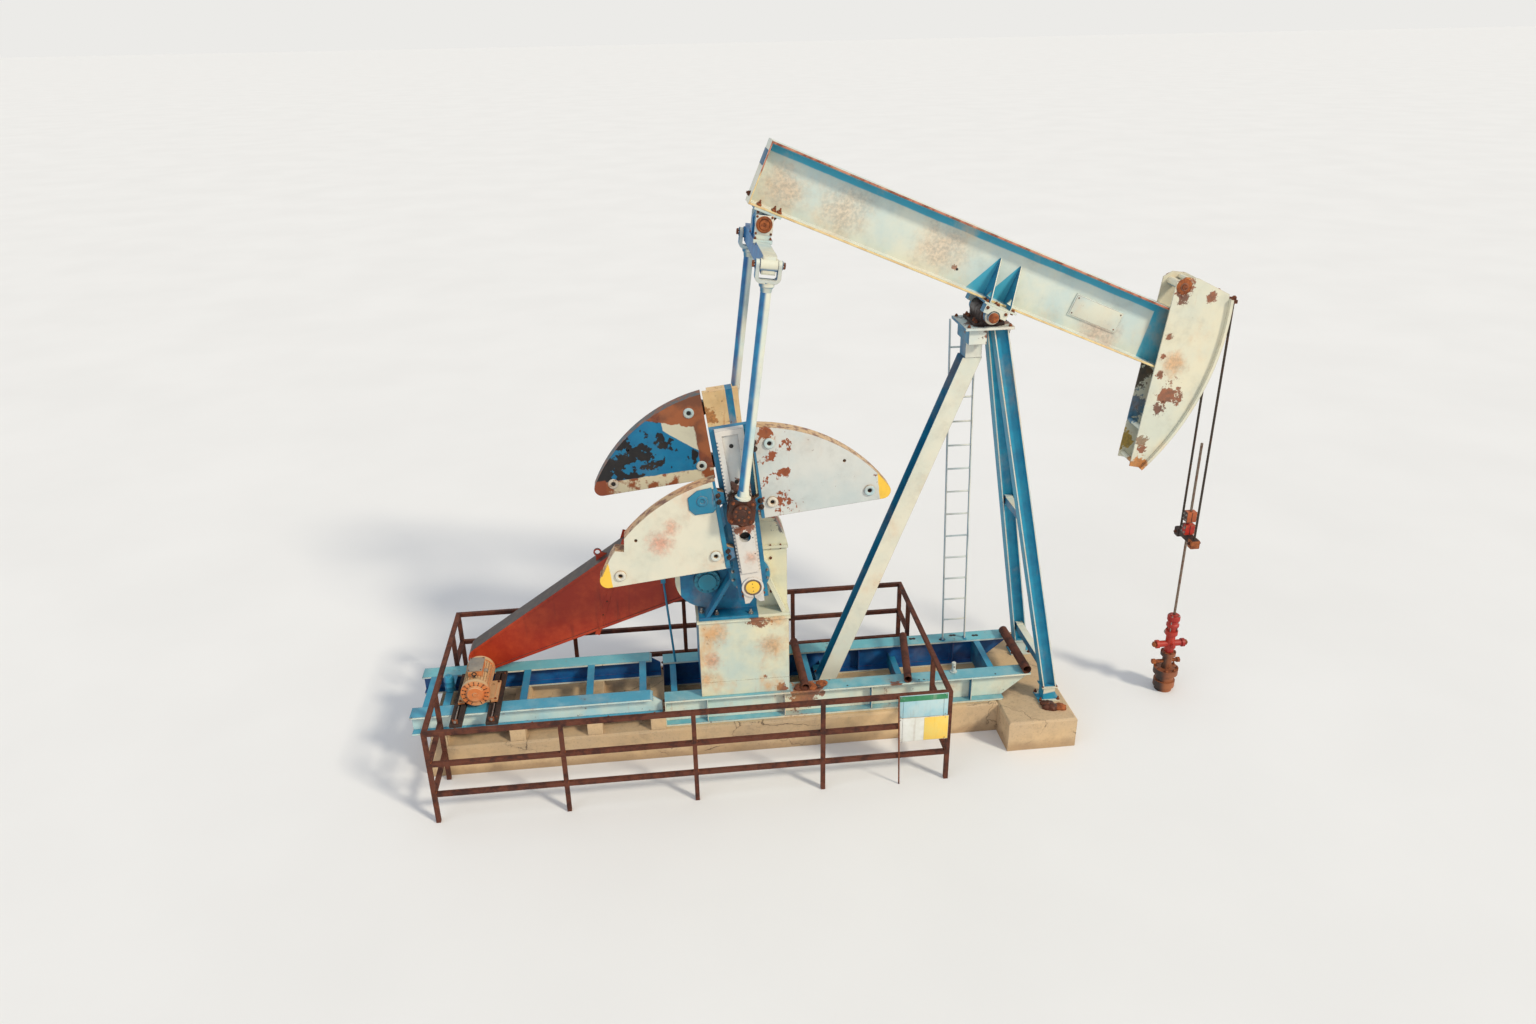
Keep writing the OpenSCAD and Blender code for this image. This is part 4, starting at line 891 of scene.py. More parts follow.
FAR_MOTOR_SKID_PAINT = FadedPaint(
    "far_motor_skid_paint", shift=15.0, shaded_tops=1.0, far_side_shade=1.0, stained=0.1, rusted=0.5, worn=1.0,
    deep=(16, 106, 164), deepest=(8, 66, 126), shade_band=Band(UP, 0.584, 0.788))
# Painted shadow: blue on the near rear part of the case.
CASE_PAINT = FadedPaint(
    "case_paint", shift=12.0, stained=0.35, rusted=0.3, grain=0.0014, light=(222, 216, 184),
    cool=(200, 208, 190), shade_band=Band(AHEAD, -3.50, -2.615),
    spots=(
        ((-2.34, 0.02, 2.90), 0.26, (196, 92, 66)), ((-2.30, -0.20, 2.86), 0.13, (124, 120, 118)),
        ((-2.40, 0.18, 2.93), 0.12, (110, 104, 100)), ((-2.25, 0.0, 2.60), 0.10, STAIN)))
PEDESTAL_PAINT = FadedPaint(
    "pedestal_paint", shift=17.0, stained=0.95, rusted=0.28, light=(226, 218, 184), cool=(192, 206, 194),
    spots=marks_on(
        HERE, -0.48, (-2.62, 1.80, 0.16, DRIP), (-2.42, 1.76, 0.12, STAIN), (-3.12, 1.62, 0.15, STAIN),
        (-3.18, 1.25, 0.12, (224, 140, 92)), (-2.47, 1.40, 0.16, STAIN), (-2.36, 0.80, 0.09, DRIP),
        (-2.55, 0.98, 0.03, DRIP), (-3.26, 1.0, 0.10, STAIN)))
# Painted shade: blue on the near crank's lower flange beside its raised body.
CRANK_PAINT = FadedPaint(
    "crank_paint", shift=21.0, stained=0.3, rusted=0.34, grain=0.0012, light=(216, 208, 196),
    cool=(200, 204, 200), shade_band=Band(FAR, -0.664, -0.50),
    spots=marks_on(
        CRANK, -0.78, (0.03, 0.80, 0.14, DRIP), (-0.05, 0.72, 0.07, DRIP), (0.02, 1.20, 0.15, (120, 62, 36)),
        (0.03, 0.38, 0.08, (222, 164, 132)), (0.01, 1.04, 0.20, GREASE)))
BOSS_PAINT = FadedPaint("boss_paint", shift=23.0, light=(218, 212, 194), stained=0.5, rusted=0.4, shaded=0.2)
# Painted shade: blue in the far crank's recess.
FAR_CRANK_PAINT = FadedPaint(
    "far_crank_paint", shift=24.0, stained=1.0, rusted=0.7, grain=0.0012,
    shade_band=Band(axis_of(CRANK, AHEAD), 0.062, 0.142, tuple(SHAFT)), light=(226, 196, 146), cool=(214, 172, 116),
    spots=marks_on(
        CRANK, 0.58, (-0.16, 1.30, 0.16, DRIP), (-0.17, 1.60, 0.12, (196, 128, 68)),
        (-0.15, 1.02, 0.12, DRIP)))
WEIGHT_FRONT = WeightPaint(
    "weight_front_paint", shift=2.0, light=(208, 208, 200), cool=(190, 198, 194), stained=0.16, rusted=0.3,
    crusted=1.15, hub=0.25)
WEIGHT_REAR = WeightPaint(
    "weight_rear_paint", shift=6.0, tip_side=-1.0, light=(220, 214, 192), cool=(204, 206, 188), stained=0.6,
    rusted=0.1, stain=(226, 150, 96), hub=0.262,
    spots=marks_on(CRANK, -0.755, (-0.93, 0.72, 0.15, (226, 138, 106)), (-0.78, 0.88, 0.10, (226, 156, 124))))
WEIGHT_FAR_FRONT = WeightPaint(
    "weight_far_front_paint", shift=9.0, light=(216, 208, 170), cool=(196, 196, 176), stained=0.4, rusted=0.4)
# Painted light on this weight: its teal face and dark rim are painted shade, its brown upper zone and cream
# strip are sunlit colours.
WEIGHT_FAR_REAR = WeightPaint(
    "weight_far_rear_paint", shift=13.0, tip_side=-1.0, painted_light=1.0, stained=0.05, rusted=0.12,
    rim=(52, 74, 82), deep=(16, 122, 162), deepest=(12, 108, 150))
HEAD_MARKS = (
    *marks_on(
        BEAM, -0.172, (1.93, 1.05, 0.13, DRIP), (1.99, 0.93, 0.08, DARK_RUST), (2.43, -0.10, 0.17, DRIP),
        (2.40, -0.28, 0.09, DARK_RUST), (2.28, 0.25, 0.16, STAIN), (2.50, -1.02, 0.20, (200, 120, 34))),
    *marks_on(
        BEAM, 0.158, (2.13, -0.02, 0.22, (66, 50, 40)), (2.26, -0.45, 0.24, (44, 120, 158)),
        (2.38, -0.82, 0.15, (198, 160, 60))),
    *marks_on(
        BEAM, -0.172, (2.07, 0.50, 0.05, DRIP), (2.12, 0.28, 0.04, DRIP), (2.20, 0.08, 0.06, DRIP),
        (2.46, -0.78, 0.07, DRIP), (2.30, 1.06, 0.08, DRIP)),
    *marks_on(BEAM, -0.10, (1.84, 1.26, 0.20, (200, 122, 50))),
    *marks_on(BEAM, -0.172, (2.41, -0.70, 0.09, (150, 120, 90))))
HEAD_PAINT = FadedPaint(
    "head_paint", shift=27.0, light=(224, 216, 188), cool=(208, 210, 192), stained=0.5, rusted=0.36,
    turn=DOWN, spots=HEAD_MARKS)
CAP_PAINT = FadedPaint(
    "cap_paint", shift=31.0, stained=0.25, rusted=0.2, worn=0.9, light=(222, 220, 204),
    spots=(
        ((-0.02, 0.0, 5.08), 0.28, (92, 48, 30)), ((-0.02, -0.23, 4.97), 0.030, DRIP),
        ((0.20, -0.1, 5.08), 0.10, DRIP)))
# Painted shade: blue in the legs' webs and behind the rear leg's near flange.
NEAR_LEG_PAINT = FadedPaint(
    "near_leg_paint", shift=33.0, shade_band=leg_band(-1.0), stained=0.5, rusted=0.3, deep=(24, 154, 184),
    deepest=(14, 130, 166))
FAR_LEG_PAINT = replace(NEAR_LEG_PAINT, name="far_leg_paint", shift=35.0, shade_band=leg_band(1.0))
REAR_LEG_PAINT = FadedPaint(
    "rear_leg_paint", shift=37.0, shade_band=Band(FAR, -0.099, 0.200), light=(226, 220, 198), cool=(212, 214, 198),
    deep=(16, 128, 164), deepest=(10, 106, 146), stained=0.4, rusted=0.2)
CONCRETE = Concrete("old_concrete")
TUBE_RUST = Rust("rusty_rail", light=(112, 58, 36), dark=(58, 28, 20), painted=0.45)
CASTING_RUST = Rust("greasy_casting", oily=0.85, light=(132, 70, 38), scale=14.0, grain=0.002)
SCALE_RUST = Rust(
    "flaking_rust", shift=3.0, light=(172, 96, 48), dark=(96, 46, 24), painted=0.0, grain=0.003, scale=20.0)
DARK_STEEL = Rust(
    "dark_steel", shift=5.0, light=(70, 50, 40), dark=(30, 24, 22), skin=(40, 40, 42), painted=0.6)
BLACK_GREASE = Rust(
    "black_grease", shift=9.0, oily=1.0, light=(78, 46, 32), dark=(26, 22, 22), skin=(22, 20, 22),
    painted=0.7, scale=12.0, grain=0.002)
# Painted shade: the dark deep colours fall on faces toward the back.
CASING_RUST = FadedPaint(
    "casing_rust", shift=41.0, light=(158, 92, 50), cool=(120, 64, 38), deep=(52, 36, 30),
    deepest=(28, 24, 24), stained=0.3, rusted=0.8, far_side_shade=0.6, grain=0.002, stain=(176, 110, 62))
CLAMP_RUST = FadedPaint(
    "clamp_rust", shift=43.0, light=(190, 98, 48), cool=(150, 70, 36), deep=(70, 34, 26),
    deepest=(44, 26, 24), stained=0.2, rusted=0.6, grain=0.0012,
    spots=(((WELL_X, -0.02, 2.34), 0.10, (196, 32, 20)),))
ROD_STEEL = Steel("rod_steel", bright=(150, 136, 122), rusted=0.45, rough=0.3)
BOLT_STEEL = Steel("bolt_steel", bright=(178, 176, 170), dull=(128, 122, 114), rusted=0.35)
RUSTY_BOLT = Rust("rusty_bolt", shift=7.0, light=(148, 80, 42), dark=(70, 34, 22), painted=0.0, scale=30.0)
GUARD = Enamel(
    "guard_red", colour=(160, 42, 16), faded=(186, 66, 30), top=(48, 42, 44), chip=(70, 30, 20), worn=0.3,
    rough=0.5)
MOTOR_PAINT = Enamel(
    "motor_orange", shift=2.0, colour=(208, 116, 56), faded=(206, 170, 124), chip=(110, 56, 30),
    side=(96, 104, 96), top=(200, 166, 122), worn=0.8)
WELL_RED = Enamel("well_red", shift=5.0, colour=(150, 22, 14), faded=(182, 50, 30), worn=0.6)
YELLOW = Enamel(
    "yellow_paint", shift=6.0, colour=(244, 192, 58), faded=(232, 202, 104), chip=(150, 96, 40), worn=0.45)
WHITE_PLATE = Enamel(
    "white_plate", shift=7.0, colour=(226, 226, 218), faded=(206, 204, 190), chip=(150, 120, 92), worn=0.2)
SKY_PLATE = Enamel(
    "sky_plate", shift=11.0, colour=(150, 196, 206), faded=(184, 208, 208), chip=(150, 120, 92), worn=0.2)
GREEN_PLATE = Enamel(
    "green_plate", shift=8.0, colour=(30, 118, 74), faded=(66, 138, 98), chip=(190, 186, 170), worn=0.25)
GREY_PLATE = Enamel(
    "grey_plate", shift=9.0, colour=(122, 116, 106), faded=(150, 140, 124), chip=(90, 56, 36), worn=0.5)
# The input cover takes this teal as painted shade.
CASE_BLUE = FadedPaint(
    "case_blue", shift=29.0, light=(28, 128, 152), cool=(40, 138, 160), deep=(12, 100, 134), stained=0.1,
    rusted=0.3)
LUG_BLUE = FadedPaint(
    "lug_blue", shift=31.0, light=(16, 116, 148), cool=(28, 128, 158), deep=(8, 90, 124), stained=0.1,
    rusted=0.35)
LADDER_PAINT = FadedPaint(
    "ladder_paint", shift=50.0, light=(238, 234, 218), cool=(210, 222, 218), rusted=0.12, worn=0.3,
    stained=0.2, shaded=0.7)
SIDE_PLATE_PAINT = FadedPaint("side_plate_paint", shift=40.0, light=(214, 212, 192), stained=0.3, rusted=0.3)
# Painted shade for holes, slots, seams and louvres.
HOLE_SHADE = Shadow("painted_hole_shade")
ROPE = WireRope("greased_rope")


def ring(count: int, radius: float) -> list[tuple[float, float]]:
    """Distances of places evenly round a circle from its middle, the first of them half a step on."""
    angles = [math.tau * (i + 0.5) / count for i in range(count)]
    return [(radius * math.cos(a), radius * math.sin(a)) for a in angles]


def facing(direction: Point) -> Matrix:
    """The turn that lays an upright form along a direction."""
    return Vector(direction).to_track_quat("Z", "Y").to_matrix().to_4x4()


def sloping(form: Form) -> list[bmesh.types.BMEdge]:
    """The edges of an upright form that aren't level."""
    return [e for e in form.edges if abs(e.verts[0].co.z - e.verts[1].co.z) > 1e-4]


def soften(form: Form, edges: list[Any], width: float, segments: int = 2) -> None:
    """Rounds some edges of a form, over a width and in a number of segments."""
    bmesh.ops.bevel(
        form, geom=edges, offset=width, segments=segments, profile=0.5, affect="EDGES", material=-1)


def full_turn(form: Form, outline: list[Any], steps: int) -> None:
    """Turns an outline of points and edges all round the upright axis."""
    bmesh.ops.spin(form, geom=outline, cent=(0, 0, 0), axis=UP, angle=math.tau, steps=steps, use_merge=True)
    bmesh.ops.remove_doubles(form, verts=form.verts, dist=1e-5)


def show(name: str, data: bpy.types.ID) -> Piece:
    """Makes an object and puts it in the scene.

    Args:
        name: The object's name.
        data: Its mesh, lamp or camera.

    Returns:
        The object.
    """
    piece = bpy.data.objects.new(name, data)
    bpy.context.scene.collection.objects.link(piece)
    return piece


class Shape:
    """A piece under construction: simple forms, each with its finish, joined in one mesh."""

    crease: float = 0.6

    def __init__(self, name: str, place: Matrix = HERE) -> None:
        """Starts an empty piece.

        Args:
            name: The piece's name.
            place: The frame in which its forms are given.
        """
        self.name = name
        self.place = place
        self.mesh = bmesh.new()
        self.finishes: list[Finish] = []

    def take(self, form: Form, finish: Finish) -> None:
        """Joins a finished form to the piece.

        Args:
            form: The form, in the piece's own frame.
            finish: Its finish.
        """
        if finish not in self.finishes:
            self.finishes.append(finish)
        form.transform(self.place)
        bmesh.ops.recalc_face_normals(form, faces=form.faces)
        for face in form.faces:
            face.material_index = self.finishes.index(finish)
            face.smooth = True
        for edge in form.edges:
            edge.smooth = edge.calc_face_angle(0.0) < self.crease
        scrap = bpy.data.meshes.new("form")
        form.to_mesh(scrap)
        form.free()
        self.mesh.from_mesh(scrap)
        bpy.data.meshes.remove(scrap)

    def box(self, low: Point, high: Point, finish: Finish, edge: float = 0.003,
            turn: Matrix = HERE) -> None:
        """Adds a plate or block with softened edges.

        Args:
            low: Its lowest corner.
            high: Its highest corner.
            finish: Its finish.
            edge: Width of the softened edge.
            turn: A rotation about its middle.
        """
        form = bmesh.new()
        bmesh.ops.create_cube(form, size=1.0)
        size = [h - l for l, h in zip(low, high)]
        bmesh.ops.scale(form, vec=size, verts=form.verts)
        soften(form, form.edges[:], min(edge, min(size) * 0.3))
        middle = Matrix.Translation([(h + l) / 2 for l, h in zip(low, high)])
        form.transform(middle @ turn)
        self.take(form, finish)

    def bar(self, start: Point, end: Point, radius: float, finish: Finish, sides: int = 28,
            edge: float = 0.002, far_radius: Optional[float] = None) -> None:
        """Adds a round bar, cone or disc with softened ends.

        Args:
            start: Middle of its first end.
            end: Middle of its other end.
            radius: Its radius.
            finish: Its finish.
            sides: Faces around it; 6 makes a hexagon.
            edge: Width of the softened rims.
            far_radius: Radius at the other end, where it differs.
        """
        line = Vector(end) - Vector(start)
        form = bmesh.new()
        bmesh.ops.create_cone(
            form, cap_ends=True, segments=sides, radius1=radius,
            radius2=radius if far_radius is None else far_radius, depth=line.length)
        rims = [e for e in form.edges if abs(e.verts[0].co.z - e.verts[1].co.z) < 1e-6]
        soften(form, rims, min(edge, line.length * 0.3))
        form.transform(Matrix.Translation((Vector(start) + Vector(end)) / 2) @ facing(line))
        self.take(form, finish)

    def turned(self, at: Point, axis: Point, profile: Sequence[tuple[float, float]], finish: Finish,
               steps: int = 40) -> None:
        """Adds a turned form.

        Args:
            at: Origin of its axis.
            axis: Direction of its axis.
            profile: Radius and height of its outline in millimetres, from one end to the other.
            finish: Its finish.
            steps: Faces around it.
        """
        form = bmesh.new()
        points = [form.verts.new((r * MM, 0.0, h * MM)) for r, h in profile]
        lines = [form.edges.new(pair) for pair in zip(points, points[1:])]
        full_turn(form, points + lines, steps)
        form.transform(Matrix.Translation(at) @ facing(axis))
        self.take(form, finish)

    def hoop(self, at: Point, axis: Point, radius: float, thickness: float, finish: Finish,
             steps: int = 36) -> None:
        """Adds a round ring.

        Args:
            at: Its middle.
            axis: Direction of its axis.
            radius: Radius of its centre line.
            thickness: Radius of its bar.
            finish: Its finish.
            steps: Faces around it.
        """
        form = bmesh.new()
        round_bar = bmesh.ops.create_circle(form, segments=10, radius=thickness)["verts"]
        form.transform(Matrix.Translation((radius, 0, 0)) @ Matrix.Rotation(math.pi / 2, 4, "X"))
        full_turn(form, round_bar + form.edges[:], steps)
        form.transform(Matrix.Translation(at) @ facing(axis))
        self.take(form, finish)

    def plate(self, outline: Sequence[Point], push: Point, finish: Finish, edge: float = 0.002) -> None:
        """Adds a plate cut to an outline.

        Args:
            outline: Corners of one face, in order.
            push: Direction and size of its thickness.
            finish: Its finish.
            edge: Width of the softened edges.
        """
        form = bmesh.new()
        face = form.faces.new([form.verts.new(p) for p in outline])
        grown = bmesh.ops.extrude_face_region(form, geom=[face], use_keep_orig=True)["geom"]
        bmesh.ops.translate(form, vec=push, verts=[g for g in grown if isinstance(g, bmesh.types.BMVert)])
        soften(form, form.edges[:], min(edge, Vector(push).length * 0.3), 1)
        self.take(form, finish)

    def bolt(self, at: Point, axis: Point, size: float, stud: float = 0.0, finish: Finish = RUSTY_BOLT,
             washer: bool = True) -> None:
        """Adds a hexagon bolt head or nut on its washer.

        Args:
            at: Where it sits on the surface.
            axis: Direction away from the surface.
            size: Radius of the hexagon.
            stud: How far a stud stands out of the nut.
            finish: Its finish.
            washer: Whether a washer lies under it.
        """
        base = Vector(at)
        out = Vector(axis).normalized()
        lift = size * 0.2 if washer else 0.0
        top = lift + size * 0.85
        if washer:
            self.bar(base - out * 0.001, base + out * lift, size * 1.25, finish, 16, 0.001)
        self.bar(base + out * lift * 0.9, base + out * top, size, finish, 6, size * 0.1)
        if stud > 0.0:
            self.bar(base + out * lift, base + out * (top + stud), size * 0.55, finish, 12, 0.002)

    def blot(self, at: Point, size: Point, seed: int, finish: Finish) -> None:
        """Adds a lump of scale or grease that lies on a surface.

        Args:
            at: Its middle.
            size: Its half sizes.
            seed: Seed of its random shape.
            finish: Its finish.
        """
        chance = random.Random(seed)
        form = bmesh.new()
        bmesh.ops.create_icosphere(form, subdivisions=3, radius=1.0)
        for vert in form.verts:
            vert.co *= 1.0 + chance.uniform(-0.22, 0.22)
        bmesh.ops.smooth_vert(
            form, verts=form.verts, factor=0.5, use_axis_x=True, use_axis_y=True, use_axis_z=True)
        bmesh.ops.scale(form, vec=size, verts=form.verts)
        bmesh.ops.translate(form, vec=at, verts=form.verts)
        self.take(form, finish)

    def object(self) -> Piece:
        """Makes the piece's object, at the origin.

        Returns:
            The object.
        """
        data = bpy.data.meshes.new(self.name)
        self.mesh.to_mesh(data)
        self.mesh.free()
        for finish in self.finishes:
            data.materials.append(finish.material())
        return show(self.name, data)


@dataclass
class SubAssembly:
    """Common ground of the sub-assemblies: it dresses CAD solids and adds finished pieces."""

    made: list[str] = field(default_factory=list, init=False)

    def dress(self, finish: Finish, *nodes: str) -> None:
        """Gives CAD solids their finish.

        Args:
            finish: The finish.
            nodes: Names of the solids.
        """
        for name in nodes:
            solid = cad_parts[name]
            if not solid.material_slots:
                solid.data.materials.append(None)
            for place in solid.material_slots:
                place.material = finish.material()

    def add(self, shape: Shape, slot: Slot, body: Body = Body.BASE,
            replaced: Sequence[str] = ()) -> Piece:
        """Hands in a piece that rides on one body.

        Args:
            shape: The finished shape.
            slot: Not used.
            body: The body it rides on.
            replaced: CAD solids that it stands for.

        Returns:
            The piece's object.
        """
        piece = shape.object()
        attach(piece, body.value)
        self.hand_in(piece, replaced)
        return piece

    def add_blended(self, shape: Shape, body: Body, slot: Slot, node: str, low: Place, high: Place) -> None:
        """Adds a piece that stays where it is made, in place of a CAD solid.

        Args:
            shape: The finished shape.
            body: Not used.
            slot: Not used.
            node: The CAD solid that it stands for.
            low: Not used.
            high: Not used.
        """
        piece = shape.object()
        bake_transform(piece)
        self.hand_in(piece, [node])

    def hand_in(self, piece: Piece, replaced: Sequence[str]) -> None:
        """Hides the CAD solids that a piece stands for, lists the piece and reports it.

        Args:
            piece: The piece.
            replaced: CAD solids that it stands for.
        """
        if replaced:
            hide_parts(*replaced)
        self.made.append(piece.name)
        LOG.info("made %s, %d faces", piece.name, len(piece.data.polygons))

    def build(self) -> None:
        """Builds the whole sub-assembly."""
        raise NotImplementedError


@dataclass
class Groundwork(SubAssembly):
    """Foundation, skids and what lies about on them."""

    skid_edge: float = 0.535
    clip_z: float = 0.585
    joint_x: float = -3.770

    def skid_fastenings(self) -> None:
        """Bolts that hold the skids on the concrete and join the two skids."""
        s = Shape("skid_fastenings")
        for side, x in product(SIDES, (-6.25, -5.35, -4.45, -3.90)):
            s.bolt((x, side * (self.skid_edge - 0.03), self.clip_z), UP, 0.014, 0.008)
        for y, z in product((-0.50, -0.36, 0.36, 0.50), (0.47, 0.66)):
            s.bolt((self.joint_x, y, z), BACK, 0.016, 0.006)
        self.add(s, Slot.DARK)

    def flange_holes(self) -> None:
        """Oval holes in the far skid beam's upper flange, and small ones in the near beam's, as dark discs of
        painted shade.
        """
        s = Shape("skid_flange_holes")
        for x, y in ((0.31, 0.43), (0.02, 0.47), (-0.14, 0.39), (-0.52, 0.46)):
            for end in (x - 0.02, x + 0.02):
                s.bar((end, y, SKID_TOP - 0.004), (end, y, SKID_TOP + 0.001), 0.024, HOLE_SHADE, 24, 0.0003)
        for x in (-1.55, -0.66, -0.60, 0.30):
            s.bar((x, -0.49, SKID_TOP - 0.004), (x, -0.49, SKID_TOP + 0.0008), 0.012, HOLE_SHADE, 16, 0.0003)
        self.add(s, Slot.DARK)

    def stub_post(self) -> None:
        """Short capped tube that stands on the near skid beam."""
        s = Shape("skid_stub_post")
        outline = [(0, 0), (45, 0), (45, 8), (24, 10), (24, 118), (27, 120), (27, 130), (14, 134), (0, 134)]
        s.turned((-0.196, -0.368, SKID_TOP), UP, outline, BOSS_PAINT)
        s.bar((-0.196, -0.400, 0.84), (-0.196, -0.336, 0.84), 0.007, RUSTY_BOLT, 12)
        self.add(s, Slot.TUBE)

    def debris(self) -> None:
        """Scale and old grease on the near skid beam and footing."""
        s = Shape("skid_grease")
        chance = random.Random(11)
        for i in range(16):
            size = chance.uniform(0.022, 0.058)
            x, y = -2.02 + chance.uniform(-0.15, 0.16), -0.455 + chance.uniform(-0.05, 0.04)
            rust = CASTING_RUST if i % 2 else SCALE_RUST
            s.blot((x, y, SKID_TOP + size * 0.25), (size * 1.3, size, size * 0.7), i, rust)
        for i in range(14):
            size = chance.uniform(0.022, 0.055)
            x, y = 0.98 + chance.uniform(-0.12, 0.10), -0.76 + chance.uniform(-0.05, 0.06)
            rust = CASTING_RUST if i % 3 else SCALE_RUST
            s.blot((x, y, 0.40 + size * 0.3), (size * 1.4, size * 1.1, size * 0.9), 30 + i, rust)
        self.add(s, Slot.TUBE)

    def drum(self) -> None:
        """Small ribbed tank at the rear end of the motor skid."""
        s = Shape("skid_tank")
        outline = [
            (0, 0), (56, 0), (63, 10), (60, 18), (60, 60), (64, 66), (60, 72), (60, 132), (64, 138),
            (60, 144), (60, 176), (48, 198), (18, 207), (18, 222), (0, 224)]
        s.turned((-6.345, 0.0, MOTOR_SKID_TOP), UP, outline, BLUE_PAINT)
        self.add(s, Slot.PALE)

    def build(self) -> None:
        """Builds the groundwork."""
        self.dress(CONCRETE, "foundation", "front_footing", "rear_sleepers")
        self.dress(SKID_PAINT, "skid_beam_near")
        self.dress(FAR_SKID_PAINT, "skid_beam_far")
        self.dress(MOTOR_SKID_PAINT, "rear_skid_near")
        self.dress(FAR_MOTOR_SKID_PAINT, "rear_skid_far")
        self.dress(BLUE_PAINT, "skid_crossmembers", "rear_skid_crossmembers")
        self.dress(TUBE_RUST, "cross_pipes")
        self.skid_fastenings()
        self.flange_holes()
        self.stub_post()
        self.debris()
        self.drum()


@dataclass
class GearReducer(SubAssembly):
    """Gear case on its pedestal, with its bearing covers and bolts."""

    bearing_r: float = 0.24
    far_bearing_r: float = 0.135
    bearing_face: float = 0.45
    band_top: float = 2.628
    band_foot: float = 2.592
    near_side: float = -0.270
    input_x: float = -3.19
    input_z: float = 2.235

    def bearing_cover(self) -> None:
        """Bolted rings at the ends of the slow shaft's housings."""
        s = Shape("slow_shaft_covers")
        covers = ((-1.0, self.bearing_r, 12, 0.034, 0.015), (1.0, self.far_bearing_r, 8, 0.016, 0.006))
        for out, radius, count, inset, size in covers:
            y = out * self.bearing_face
            edge = radius / MM
            outline = [(108, -1), (edge - 12, -1), (edge - 12, 14), (edge - 20, 18), (132, 18), (128, 30)]
            outline += [(108, 30), (108, -1)]
            s.turned((SHAFT.x, y, SHAFT.z), (0, out, 0), outline, BLUE_PAINT, 64)
            for u, v in ring(count, radius - inset):
                s.bolt((SHAFT.x + u, y + out * 0.017, SHAFT.z + v), (0, out, 0), size, finish=BOLT_STEEL)
        self.add(s, Slot.CAST)

    def split_line(self) -> None:
        """Bolts along the band where the upper and lower halves of the case meet."""
        s = Shape("case_split_bolts")
        for y, i in product((-0.288, 0.276), range(8)):
            x = -3.15 + i * 0.118
            if y < 0 and abs(x - SHAFT.x) < 0.10:
                continue
            s.bolt((x, y, self.band_top), UP, 0.010, 0.006)
            s.bolt((x, y, self.band_foot), DOWN, 0.010, 0.004)
        self.add(s, Slot.CAST)

    def foot_bolts(self) -> None:
        """Bright holding-down bolts through the case's foot plate."""
        s = Shape("case_foot_bolts")
        places = ((-3.270, -0.324), (-3.099, -0.388), (-2.700, -0.420), (-2.326, -0.375))
        for side, (x, y) in product((1.0, -1.0), places):
            s.bolt((x, y * side, CASE_FOOT_TOP), UP, 0.026, 0.03, BOLT_STEEL)
        self.add(s, Slot.STEEL)

    def top_fittings(self) -> None:
        """Inspection cover's bolts, breather and lifting eyes on the case, plugs and the level gauge."""
        s = Shape("case_top_fittings")
        for x, y in product((-2.840, -2.760, -2.680), (-0.105, 0.105)):
            s.bolt((x, y, 3.015), UP, 0.011)
        s.turned(
            (-2.76, 0.0, 3.014), UP, [(0, 0), (20, 0), (20, 30), (36, 34), (36, 50), (24, 60), (0, 62)],
            RUSTY_BOLT, 24)
        for x in (-2.99, -2.60):
            s.bar((x, 0.19, 2.955), (x, 0.19, 3.005), 0.012, CASE_PAINT, 12)
            s.hoop((x, 0.19, 3.025), FAR, 0.026, 0.008, CASE_PAINT, 24)
        for z in (2.02, 2.46):
            s.bolt((-2.44, self.near_side, z), NEAR, 0.018, washer=False)
        s.box((-3.02, -0.281, 1.98), (-2.99, -0.269, 2.12), BLUE_PAINT, 0.003)
        s.bar((-3.005, -0.283, 2.0), (-3.005, -0.283, 2.1), 0.006, HOLE_SHADE, 12)
        self.add(s, Slot.CAST)

    def end_ring(self) -> None:
        """Dark seam and painted ring round the input cover."""
        s = Shape("input_cover_seal")
        s.hoop((self.input_x, -0.330, self.input_z), FAR, 0.107, 0.003, LUG_BLUE, 48)
        s.hoop((self.input_x, self.near_side, self.input_z), FAR, 0.152, 0.004, HOLE_SHADE, 56)
        self.add(s, Slot.CAST)

    def build(self) -> None:
        """Builds the reducer."""
        self.dress(CASE_PAINT, "reducer_case")
        self.dress(CASE_BLUE, "input_cover")
        self.dress(PEDESTAL_PAINT, "pedestal")
        self.bearing_cover()
        self.split_line()
        self.foot_bolts()
        self.top_fittings()
        self.end_ring()


